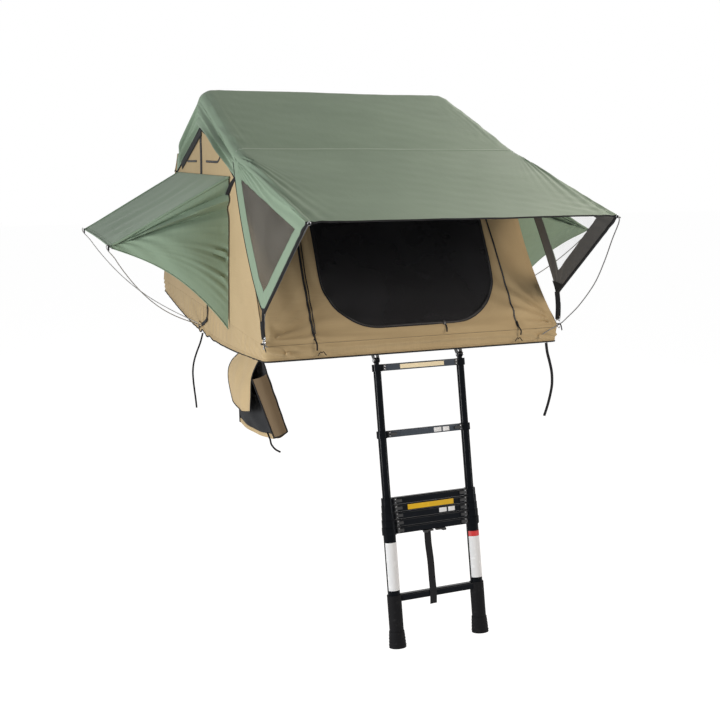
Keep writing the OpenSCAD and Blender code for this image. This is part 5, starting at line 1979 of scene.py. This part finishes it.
@dataclass
class Base(Assembly):
    """The base: skirts with their piped hems, mattress halves, and the side strap."""

    side_x: float = 0.6995
    top: float = 0.0632
    hem_drop: float = 0.08
    corners: Pair = (0.012, 0.036)
    thick: float = 0.0015
    piping: float = 0.0035
    stitch: tuple[float, ...] = (0.0056, 0.0038, 0.001, 0.0007)
    pad_gap: float = 0.004
    pad_fill: float = 0.8

    def build(self) -> None:
        """Makes and dresses the base."""
        halves = (("front", Body.FRONT_BASE), ("rear", Body.REAR_BASE))
        for word, body in halves:
            self.build_skirt(word, body)
        for word, body in halves:
            self.build_mattress(word, body)
        self.build_side_strap()

    def outline(self, body: Body, corner: float) -> Array:
        """The skirt's run in x and d, from one side of the fold round the end to the other side."""
        side, end, last = self.side_x, 0.0005, self.tent.half_length - 0.003
        line = spaced(rounded([(-side, last), (-side, end), (side, end), (side, last)], corner, 9), 460)
        if body is Body.REAR_BASE:
            line = np.stack([line[:, 0], self.tent.length - line[:, 1]], axis=1)
        return line

    def hem_height(self, d: Array) -> Array:
        """Height of the hem, which droops towards the fold."""
        slack = fade(np.abs(d - self.tent.half_length), 0.16)
        return 0.014 * slack * waves(d, 0.0 * d, 0.085, 61) - self.hem_drop * arch(d / self.tent.length)

    def skirt_point(self, body: Body, t: Array) -> Array:
        """Points of the skirt, one column for each point of its run.

        Args:
            body: the base half that it hangs on.
            t: shares of the way from its top to its hem.

        Returns:
            Points in the frame's axes.
        """
        tent, across = self.tent, t[:, None]
        top, low = (self.outline(body, corner) for corner in self.corners)
        ahead = np.gradient(low, axis=0)
        out = unit(np.stack([ahead[:, 1], -ahead[:, 0]], axis=1))
        out = out * np.sign((out * (low - np.array([0.0, tent.half_length]))).sum(axis=1, keepdims=True))
        far = distances(low)[None, :]
        h = mix(self.top, self.hem_height(low[:, 1])[None, :], across)
        from_end = np.minimum(low[:, 1], tent.length - low[:, 1])
        from_side = self.side_x - np.abs(low[:, 0])
        near_fold = fade(np.abs(low[:, 1] - tent.half_length), 0.2)
        near_corner = fade(from_side + from_end, 0.2)
        swell = (0.0015 + 0.0022 * waves(far, 0.7 * h, 0.10, 71, 0.0, 30.0)
                 + 0.0090 * near_fold * waves(far, h, 0.055, 72, 0.0, 25.0)
                 + 0.006 * near_corner * waves(far, 2.2 * h, 0.06, 73, 60.0, 20.0)
                 + 0.004 * fade(from_end, 0.05) * waves(0.25 * far, 2.0 * h, 0.08, 74, 90.0, 14.0))
        swell = np.maximum(swell, 0.0) * ease(across / 0.1) * (0.35 + 0.65 * arch(across) ** 0.7)
        flat = mix(top[None], low[None], across[..., None]) + swell[..., None] * out[None]
        return tent.at(flat[..., 0], flat[..., 1], h)

    def build_skirt(self, word: str, body: Body) -> None:
        """A skirt round one base half, its piping and its stitches.

        Args:
            word: the half's name, as in its CAD nodes.
            body: the half's body.
        """
        points = self.skirt_point(body, steps(15))
        patch = Patch(points).facing(BACKWARDS if body is Body.REAR_BASE else -BACKWARDS)
        self.fitter.cloth(f"{word}_skirt_canvas", [patch], [Finish.CANVAS], self.thick, body, Slot.TAN,
                          f"{word}_skirt", held="hung", rests_on=[f"{word}_rails"], fold=Fold.RIGID)
        hem = SolidMesh()
        hem.sweep(points[-1] - 0.6 * self.piping * UPWARDS, circle(self.piping, 8), UPWARDS)
        self.fitter.solid(hem, f"{word}_hem_piping", [Finish.BINDING], body, Slot.WEBBING, fold=Fold.RIGID)
        line = self.outline(body, self.corners[1]) - np.array([0.0, self.tent.half_length])
        out = np.concatenate([unit(line), np.zeros((len(line), 1))], axis=1)
        rows = [(points[row] + 0.0008 * out, out) for row in (12, 13)]
        self.fitter.row(f"{word}_skirt_stitches", rows, self.stitch, Finish.CANVAS, body, Slot.TAN,
                        Fold.RIGID)

    def build_mattress(self, word: str, body: Body) -> None:
        """A mattress half: a crowned pad with drawn-in sides, inside the space of its solid.

        Args:
            word: the half's name, as in its CAD nodes.
            body: the half's body.
        """
        low, high = (np.array(corner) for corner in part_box(f"{word}_mattress"))
        centre = (low + high) / 2.0
        half = (high - low) / 2.0 - self.pad_gap * (RIGHTWARDS + BACKWARDS)
        turn = np.linspace(-math.pi, math.pi, 200, endpoint=False)
        edge = squared(np.stack([np.cos(turn), np.sin(turn)], axis=1), 0.14)
        edge = edge / np.maximum(1.0, np.abs(edge).max(axis=1, keepdims=True))
        rows = []
        for share, rise in ((0.0, -1.0), (0.5, -1.0), (0.97, -1.0), (1.0, -0.86), (0.992, 0.0), (1.0, 0.72),
                            (0.985, 0.86), (0.93, 0.93), (0.7, 0.985), (0.4, 1.0), (0.0, 1.0)):
            pinch = 1.0 - 0.006 * (1.0 - np.abs(edge).min(axis=1)) * (1.0 if abs(rise) < 0.8 else 0.3)
            ring = edge * share * pinch[:, None]
            sag = 0.006 * waves(*ring.T, 0.5, 81) * (rise > 0.9) * (1.0 - share**4)
            height = np.minimum(centre[2] + half[2] * rise + sag, high[2])
            rows.append(np.column_stack([centre[:2] + half[:2] * ring, height]))
        piece = cloth_mesh(f"{word}_mattress_pad", [Patch(np.stack(rows), closed=True)], [Finish.COVER], 0.0)
        work = bmesh.new()
        work.from_mesh(piece.data)
        bmesh.ops.recalc_face_normals(work, faces=work.faces)
        work.to_mesh(piece.data)
        work.free()
        self.fitter.put(piece, body, Slot.FOAM, f"{word}_mattress", fold=Fold.RIGID)

    def build_side_strap(self) -> None:
        """The short strap on the left side that ties the cover down."""
        mesh = SolidMesh()
        points = ((-0.7045, 1.089, 0.085), (-0.7065, 1.082, 0.045), (-0.7085, 1.095, 0.010),
                  (-0.7085, 1.170, -0.022), (-0.7085, 1.300, -0.062))
        mesh.strap(self.tent.route(points, 30), 0.018, 0.002, Side.LEFT.out)
        self.fitter.solid(mesh, "side_tie_strap", [Finish.WEBBING], Body.FRONT_BASE, Slot.WEBBING,
                          fold=Fold.RIGID)


@dataclass
class ShoeBag(Assembly):
    """The shoe bag under the left front corner: shell, outer flap, mesh pocket, binding and tail."""

    pocket_thick: float = 0.001
    ends: Pair = (0.04, 0.44)
    lows: Pair = (-0.342, -0.368)
    inner_rise: float = 0.022
    mouth: Pair = (0.48, -0.185)

    def build(self) -> None:
        """Makes and dresses the bag."""
        self.run = steps(40, *self.ends)
        self.build_shell()
        self.build_flap()
        self.build_binding()

    def cloth(self, name: str, patches: Sequence[Patch], finishes: Sequence[Finish], slot: Slot, holder: str,
              *nodes: str, thick: float = 0.0016) -> None:
        """A piece of cloth on the front base, labelled to gather up under the hem when the tent folds; the
        label only gives it its own mesh.
        """
        self.fitter.cloth(name, patches, finishes, thick, Body.FRONT_BASE, slot, *nodes, held="hung",
                          rests_on=[holder], fold=Fold.LIFTED)

    def share(self, d: Array | float) -> Array | float:
        """Share of the way from the bag's front end to its rear end."""
        return (d - self.ends[0]) / (self.ends[1] - self.ends[0])

    def frame_at(self, d: Array) -> tuple[Array, Array, Array, Array]:
        """Inner and outer x of the bag at its top and its bottom, for a distance back d."""
        spans = ((-0.699, -0.668), (-0.712, -0.708), (-0.596, -0.632), (-0.655, -0.704))
        return tuple(mix(front, rear, self.share(d)) for front, rear in spans)

    def inner_wall(self, d: Array, t: Array) -> Array:
        """Points of the bag's back, from its top at t 0 to its bottom at t 1."""
        top_in, _, low_in, _ = self.frame_at(d)
        x = mix(top_in, low_in, t) + 0.0015 * waves(d, t, 0.2, 91)
        return self.tent.at(x, d, mix(-0.004, self.low_height(d) + self.inner_rise, t))

    def outer_wall(self, d: Array, t: Array) -> Array:
        """Points of the bag's pocket, from its mouth at t 0 to its bottom at t 1."""
        _, top_out, _, low_out = self.frame_at(d)
        bulge = 0.020 * arch(t) * arch(np.clip(self.share(d), 0.02, 0.98))
        mouth_x = mix(top_out, low_out, self.mouth[0])
        x = mix(mouth_x, low_out, t) - bulge + 0.003 * waves(d, 0.3 * t, 0.12, 92)
        return self.tent.at(x, d, mix(self.mouth[1], self.low_height(d), t))

    def low_height(self, d: Array) -> Array:
        """Height of the bag's bottom, which sags between its ends."""
        return mix(*self.lows, self.share(d)) - 0.012 * arch(np.clip(self.share(d), 0.0, 1.0))

    def end_wall(self, d: float, t: Array, s: Array) -> Array:
        """Points of an end gusset: t runs down, and s from its outer edge to its inner one."""
        top_in, top_out, low_in, low_out = self.frame_at(np.array(d))
        front = d == self.ends[0]
        outer = mix(top_out - (0.034 if front else 0.0), low_out, t)
        inner = mix(mix(top_in, low_in, 0.17), low_in, t)
        lean = 0.012 * arch(s) * (-1.0 if front else 1.0)
        low_h = mix(*self.lows, self.share(d)) + self.inner_rise * s
        return self.tent.at(mix(outer, inner, s), d + lean, mix(mix(-0.080, -0.060, s), low_h, t))

    def build_shell(self) -> None:
        """Back, bottom, the two gussets and the pocket."""
        grid = np.meshgrid(self.run, steps(30))
        across = steps(10)
        inner, outer = self.inner_wall(self.run, np.ones(40)), self.outer_wall(self.run, np.ones(40))
        floor = mix(outer[None], inner[None], across[:, None, None])
        floor[..., 2] -= 0.012 * arch(across)[:, None]
        shell = [Patch(self.inner_wall(*grid)).facing(RIGHTWARDS), Patch(floor).facing(-UPWARDS)]
        # The shell's inner face is black binding cloth, as painted shade inside the bag.
        self.cloth("shoe_bag_shell", shell, [Finish.CANVAS, Finish.BINDING], Slot.TAN, "front_skirt_canvas",
                   "shoe_bag")
        s, down = np.meshgrid(steps(16), steps(30))
        # The gussets wear the darker canvas copy as painted shade, with black binding cloth inside as painted
        # shade.
        for word, end, way in zip(("front", "rear"), self.ends, ENDS):
            gusset = Patch(self.end_wall(end, down, s)).facing(way * BACKWARDS)
            self.cloth(f"shoe_bag_{word}_gusset", [gusset], [Finish.DARK_CANVAS, Finish.BINDING], Slot.TAN,
                       "shoe_bag_shell")
        pocket = Patch(self.outer_wall(*grid)).facing(Side.LEFT.out)
        self.cloth("shoe_bag_pocket", [pocket], [Finish.POCKET_NET], Slot.NET, "shoe_bag_shell",
                   thick=self.pocket_thick)

    def flap_points(self) -> Array:
        """Points of the flap, between its front and rear edges from the hem down."""
        front = smooth_path([(-0.7035, 0.075, -0.010), (-0.722, 0.120, -0.080), (-0.735, 0.110, -0.135),
                             (-0.741, 0.098, -0.190), (-0.742, 0.095, -0.230)], 40)
        rear = smooth_path([(-0.7035, 0.440, -0.046), (-0.720, 0.520, -0.095), (-0.733, 0.532, -0.140),
                            (-0.740, 0.470, -0.205), (-0.742, 0.405, -0.258)], 40)
        s, t = steps(36)[None, :], steps(40)[:, None]
        grid = mix(front[:, None], rear[:, None], s[..., None])
        grid[..., 2] -= 0.020 * arch(s) * t**2
        grid[..., 0] -= 0.016 * arch(s) * arch(np.clip(t, 0.0, 0.95))
        grid[..., 0] += 0.004 * waves(grid[..., 1], grid[..., 2], 0.16, 95)
        return self.tent.all_at(grid)

    def build_flap(self) -> None:
        """The outer flap that hangs over the mouth."""
        patch = Patch(self.flap_points()).facing(Side.LEFT.out)
        self.cloth("shoe_bag_flap", [patch], [Finish.CANVAS], Slot.TAN, "front_skirt_canvas")

    def build_binding(self) -> None:
        """Black binding round the flap, the gussets and the pocket, and the tail strap."""
        mesh, t, flap = SolidMesh(), steps(30), self.flap_points()
        mesh.tube(np.vstack([flap[:, 0], flap[-1, 1:], flap[-2::-1, -1]]), 0.0030)
        for end in self.ends:
            mesh.tube(self.end_wall(end, t, np.zeros(30)), 0.0032)
            mesh.tube(self.inner_wall(np.full(30, end), t), 0.0036)
            mesh.tube(self.end_wall(end, np.ones(12), steps(12)), 0.0032)
        for level, width, slot in ((0.0, 0.007, 0), (0.955, 0.022, 2), (1.0, 0.005, 0)):
            path = self.outer_wall(self.run, np.full(40, level)) - 0.0015 * RIGHTWARDS
            mesh.strap(path, width, 0.002, Side.LEFT.out, slot)
        tail = ((-0.676, 0.070, -0.322), (-0.668, 0.058, -0.350), (-0.664, 0.052, -0.372),
                (-0.650, 0.040, -0.392), (-0.630, 0.030, -0.404))
        mesh.strap(self.tent.route(tail, 24), 0.008, 0.002, (0.0, -1.0, 0.3), 1)
        self.fitter.solid(mesh, "shoe_bag_binding", [Finish.BINDING, Finish.WEBBING, Finish.CANVAS],
                          Body.FRONT_BASE, Slot.WEBBING, fold=Fold.LIFTED)


@dataclass
class HangingStraps(Assembly):
    """Loose webbing straps, each swept along its route."""

    narrow: float = 0.014
    wide: float = 0.032
    thick: float = 0.003
    left_d: float = 1.215
    right_d: float = -0.004

    def build(self) -> None:
        """Makes the three straps."""
        left = ((-0.7055, -0.082), (-0.720, -0.132), (-0.742, -0.186), (-0.758, -0.236), (-0.765, -0.286),
                (-0.764, -0.336), (-0.760, -0.386), (-0.755, -0.436), (-0.751, -0.486))
        right = ((0.638, -0.006), (0.646, -0.050), (0.662, -0.100), (0.675, -0.150), (0.679, -0.205),
                 (0.672, -0.255), (0.660, -0.305), (0.644, -0.355))
        ladder = ((0.0, 0.0, 0.0), (-0.001, -0.016, -0.061), (0.002, -0.035, -0.131), (0.001, -0.055, -0.201),
                  (0.0, -0.071, -0.251), (0.0, -0.0765, -0.282), (0.001, -0.076, -0.315))
        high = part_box("ladder_strap")[1]
        left_points, right_points = (self.tent.all_at([(x, d, h) for x, h in points])
                                     for points, d in ((left, self.left_d), (right, self.right_d)))
        self.hang("left_hanging_strap", left_points, (-0.3, 1.0, 0.0), Body.REAR_BASE, "left_strap",
                  0.7 * self.narrow)
        self.hang("right_hanging_strap", right_points, BACKWARDS, Body.FRONT_BASE, "right_strap", self.narrow)
        self.hang("ladder_hanging_strap", np.array([-0.023, high.y, high.z]) + ladder, BACKWARDS, "ladder_7",
                  "ladder_strap", self.wide)

    def hang(self, name: str, points: Array, lay: Sequence[float], body: Body | str, node: str,
             width: float) -> None:
        """One strap along its route.

        Args:
            name: the piece's name.
            points: the route from where it leaves the tent.
            lay: the direction that its flat face looks to.
            body: what it hangs from.
            node: the plain solid that it stands for.
            width: the webbing's width.
        """
        path, mesh = smooth_path(points, 40), SolidMesh()
        mesh.strap(path, width, self.thick, lay)
        piece = self.fitter.solid(mesh, name, [Finish.WEBBING], body, Slot.WEBBING, node, fold=Fold.RIGID)
        length = float(distances(path)[-1])
        tuple(path[0])


# Blank strips on the rungs: section, spans in x with their height, and finish
RUNG_STRIPS = {
    "top_rung_strip": (1, ((-0.098, 0.112, 0.019),), Finish.CREAM),
    "second_rung_patches": (2, ((0.040, 0.076, 0.019), (0.083, 0.114, 0.019)), Finish.WHITE),
    "bundle_strip": (4, ((-0.112, 0.108, 0.022),), Finish.YELLOW),
    "bundle_patches": (5, ((0.036, 0.072, 0.019), (0.080, 0.112, 0.019)), Finish.WHITE),
}


@dataclass
class Ladder(Assembly):
    """Details on the telescopic ladder: blank strips, rung end caps, foot treads and the release bar."""

    lean: float = math.radians(12.5)
    face: float = 0.018
    foot_tube: float = 0.0272
    foot_radius: float = 0.0377
    top_rung: float = 0.034
    sections: int = 7
    rivet: tuple[Pair, ...] = ((0.0, 0.0), (0.0022, 0.0), (0.0022, 0.0008), (0.0014, 0.0013), (0.0, 0.0013))

    def __post_init__(self) -> None:
        """Takes the ladder's pivot and directions from the frame."""
        self.pivot = self.middle_of("ladder_pins")
        self.down = np.array([0.0, -math.sin(self.lean), -math.cos(self.lean)])
        self.front = np.array([0.0, -math.cos(self.lean), math.sin(self.lean)])
        self.turn = Matrix.Rotation(-self.lean, 3, "X")
        self.leg_x = float(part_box("ladder_feet")[1].x) - self.foot_radius

    @staticmethod
    def middle_of(node: str) -> Array:
        """The middle of a node's box, at x 0."""
        low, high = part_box(node)
        return np.array([0.0, (low.y + high.y) / 2.0, (low.z + high.z) / 2.0])

    def spot(self, x: float, s: float, out: float) -> Array:
        """A point at x, a distance s down the ladder and out in front of its middle plane."""
        return self.pivot + s * self.down + out * self.front + x * RIGHTWARDS

    def rung_at(self, section: int) -> float:
        """Distance of a rung from the pivot, from its section's buttons where it has them."""
        if section == 1:
            return self.top_rung
        return float((self.middle_of(f"ladder_buttons_{section}") - self.pivot) @ self.down)

    def fit(self, mesh: SolidMesh, name: str, finishes: Sequence[Finish], section: int, slot: Slot) -> None:
        """Sets a piece on a section of the ladder."""
        self.fitter.solid(mesh, name, finishes, f"ladder_{section}", slot, fold=Fold.RIGID)

    def build(self) -> None:
        """Makes and dresses the details."""
        for name, (section, spans, finish) in RUNG_STRIPS.items():
            mesh = SolidMesh()
            for left, right, tall in spans:
                place = self.spot((left + right) / 2.0, self.rung_at(section), self.face + 0.0003)
                mesh.block(place, (right - left, 0.0007, tall), 0.00025, self.turn)
            self.fit(mesh, name, [finish], section, Slot.LADDER)
        self.build_leg_strips()
        for section in range(1, self.sections + 1):
            self.build_caps(section)
        self.build_feet()

    def build_leg_strips(self) -> None:
        """Blank strips round the front of the lowest tubes, one with a red head."""
        mesh, angle = SolidMesh(), steps(19, -1.25, 1.25)
        around = np.stack([np.sin(angle), np.cos(angle)], axis=1) @ np.stack([RIGHTWARDS, self.front])
        outline = np.vstack([(self.foot_tube + 0.0002) * around, (self.foot_tube + 0.0007) * around[::-1]])
        runs = ((-1.0, 0.790, 0.997, 0), (1.0, 0.790, 0.813, 1), (1.0, 0.8135, 0.997, 0))
        for side, top, low, slot in runs:
            mesh.skin(np.stack([self.spot(side * self.leg_x, s, 0.0) + outline for s in (top, low)]), slot)
        self.fit(mesh, "leg_strips", [Finish.WHITE, Finish.RED], self.sections, Slot.LADDER)

    def build_caps(self, section: int) -> None:
        """Riveted caps at the ends of a rung, and the release bar under the lowest collapsed one.

        Args:
            section: the ladder's section, counted from the top.
        """
        mesh, s = SolidMesh(), self.rung_at(section)
        reach = self.leg_x - 0.0225 - 0.0017 * (section - 1) - 0.006
        for side in ENDS:
            cap = self.spot(side * reach, s, self.face + 0.0006)
            mesh.block(cap, (0.013, 0.0016, 0.0265), 0.0006, self.turn)
            for off in (-0.006, 0.006):
                foot = self.spot(side * reach, s + off, self.face + 0.0013)
                mesh.turned(self.rivet, foot, self.front, 1, 10)
        for side in ENDS if section == self.sections else ():
            bar = self.spot(side * 0.030 + 0.01, s + 0.0190, self.face - 0.010)
            mesh.block(bar, (0.046, 0.020, 0.007), 0.002, self.turn)
            knob = self.spot(side * 0.044 + 0.01, s + 0.0215, self.face - 0.006)
            mesh.block(knob, (0.018, 0.018, 0.010), 0.002, self.turn)
        self.fit(mesh, f"rung_caps_{section}", [Finish.PLASTIC, Finish.PLATED], section, Slot.PLASTIC)

    def build_feet(self) -> None:
        """Treads round the rubber feet."""
        mesh, low = SolidMesh(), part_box("ladder_feet")[0].z
        foot = self.middle_of("ladder_feet")
        foot[2] = low
        bottom = float((foot - self.pivot) @ self.down)
        for side in ENDS:
            for step in range(4):
                radius = self.foot_radius - 0.0012 - 0.0009 * step
                ring = circle(radius, 32) @ np.stack([RIGHTWARDS, self.front])
                centre = self.spot(side * self.leg_x, bottom - 0.014 * (step + 1), 0.0)
                mesh.tube(centre + ring, 0.0022, 0, 6, closed=True)
        self.fit(mesh, "foot_treads", [Finish.RUBBER], self.sections, Slot.RUBBER)


# Finishes of the solids that stay

KEPT = {
    Finish.RAIL: ("rear_rails", "front_rails"),
    Finish.PLY: ("rear_panel", "front_panel"),
    Finish.ALUMINIUM: ("mounting_channels", "front_bow_legs", "front_bow_crossbar", "ridge_bow_legs",
                       "ridge_bow_crossbar", "rear_bow_legs", "rear_bow_crossbar"),
    Finish.PLATED: ("channel_bolts", "rear_hinge_plates", "front_hinge_plates", "hinge_bolts", "ladder_pins"),
    Finish.FITTING_TAN: ("side_rod_sockets", "front_rod_sockets"),
    Finish.PLASTIC: tuple(f"ladder_buttons_{k}" for k in range(2, 8)),
    Finish.STEEL: ("ladder_brackets",),
    Finish.LADDER: tuple(f"ladder_section_{k}" for k in range(1, 8)),
    Finish.RUBBER: ("ladder_feet",),
}


def dress_kept(frame: dict) -> None:
    """Gives the solids that stay their finishes."""
    for finish, names in KEPT.items():
        for name in names:
            node = frame["nodes"][name]
            node.data.materials.clear()
            node.data.materials.append(FINISHES[finish])
            LOG.info("%s is dressed in %s", name, finish.value.name)


# Studio


@dataclass(frozen=True)
class Lamp:
    """A square soft lamp."""

    name: str
    place: Place
    size: float
    power: float
    colour: Colour


LAMPS = (
    Lamp("key", (-4.9, -2.7, -0.1), 1.5, 172.0, (1.0, 1.0, 1.0)),
    Lamp("front right", (2.1, -4.4, 2.0), 1.5, 76.0, (1.0, 0.90, 0.80)),
    Lamp("rear right", (3.2, 1.0, 3.2), 2.0, 75.0, (1.0, 0.93, 0.86)),
    Lamp("ladder rim", (3.6, -4.4, -0.5), 0.5, 16.0, (0.92, 0.96, 1.0)),
)


@dataclass
class Studio:
    """The pale floor, soft light and the camera at the photograph's viewing angle."""

    camera_place: Place = (-1.737, -5.610, 0.866)
    aim: Place = (-0.27934, -1.8, 0.01357)
    lamp_aim: Place = (0.0, -0.9, 0.4)
    lens: float = 48.58
    sensor: float = 36.0
    roll: float = 0.12
    ambient: float = 0.225
    glow: float = 1.53
    glow_share: float = 0.6
    floor_size: float = 60.0
    floor_drop: float = 0.256
    white: tuple[float, ...] = (1.0, 1.0, 1.0, 1.0)
    floor_grey: tuple[float, ...] = (0.8, 0.8, 0.8, 1.0)

    def build(self) -> None:
        """Makes the camera, the lamps, the world and the floor."""
        bpy.context.scene.view_settings.view_transform = "Standard"
        self.build_camera()
        self.build_world()
        for lamp in LAMPS:
            self.build_lamp(lamp)
        self.build_floor()

    @staticmethod
    def look(place: Place, aim: Place) -> Matrix:
        """The turn of a camera or a lamp that looks from one place at another."""
        return (Vector(aim) - Vector(place)).to_track_quat("-Z", "Y").to_matrix()

    def build_camera(self) -> None:
        """The camera."""
        data = bpy.data.cameras.new("camera")
        data.lens = self.lens
        data.sensor_width = self.sensor
        camera = add_object("camera", data)
        camera.location = self.camera_place
        turn = self.look(self.camera_place, self.aim) @ Matrix.Rotation(math.radians(self.roll), 3, "Z")
        camera.rotation_euler = turn.to_euler()
        bpy.context.scene.camera = camera

    def build_lamp(self, lamp: Lamp) -> None:
        """A lamp that looks at the tent."""
        data = bpy.data.lights.new(lamp.name, "AREA")
        data.shape = "SQUARE"
        data.size = lamp.size
        data.energy = lamp.power
        data.color = lamp.colour
        made = add_object(lamp.name, data)
        made.location = lamp.place
        made.rotation_euler = self.look(lamp.place, self.lamp_aim).to_euler()

    def build_world(self) -> None:
        """A pale world: white to the camera, in reflections and through nets, and softer as light."""
        world = bpy.data.worlds.new("studio")
        bpy.context.scene.world = world
        board = Board(world)
        soft, white = (board.node("ShaderNodeBackground", {}, {"Color": self.white, "Strength": strength})
                       for strength in (self.ambient, 1.0))
        board.close(board.node("ShaderNodeMixShader", {}, {0: board.seen(), 1: soft, 2: white}))

    def build_floor(self) -> None:
        """A pale floor that takes a faint shadow, with room under the feet for one more ladder section."""
        half, level = self.floor_size / 2.0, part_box("ladder_feet")[0].z - self.floor_drop
        mesh = bpy.data.meshes.new("floor")
        corners = [(x * half, y * half, level) for x, y in ((-1, -1), (1, -1), (1, 1), (-1, 1))]
        mesh.from_pydata(corners, [], [(0, 1, 2, 3)])
        floor = add_object("floor", mesh)
        board = Board(bpy.data.materials.new("pale_floor"))
        matt = board.node("ShaderNodeBsdfDiffuse", {}, {"Color": self.floor_grey})
        glow = board.node("ShaderNodeEmission", {}, {"Color": self.white, "Strength": self.glow})
        share = board.seen() * self.glow_share
        board.close(board.node("ShaderNodeMixShader", {}, {0: share, 1: matt, 2: glow}))
        mesh.materials.append(board.owner)


def main() -> None:
    """Loads the frame, builds the studio and every sub-assembly, and dresses the solids that stay."""
    logging.basicConfig(level=logging.INFO, format="%(name)s: %(message)s")
    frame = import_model()
    for finish in Finish:
        FINISHES[finish] = finish.value.make()
    fitter = Fitter(TentFrame.read(frame), RowTree())
    Studio().build()
    HangingStraps(fitter).build()
    Canopy(fitter).build()
    Fly(fitter).build()
    for side in Side:
        WindowAwning(fitter, side).build()
    Base(fitter).build()
    ShoeBag(fitter).build()
    Ladder(fitter).build()
    dress_kept(frame)
    bpy.context.view_layer.update()


if __name__ == "__main__":
    main()
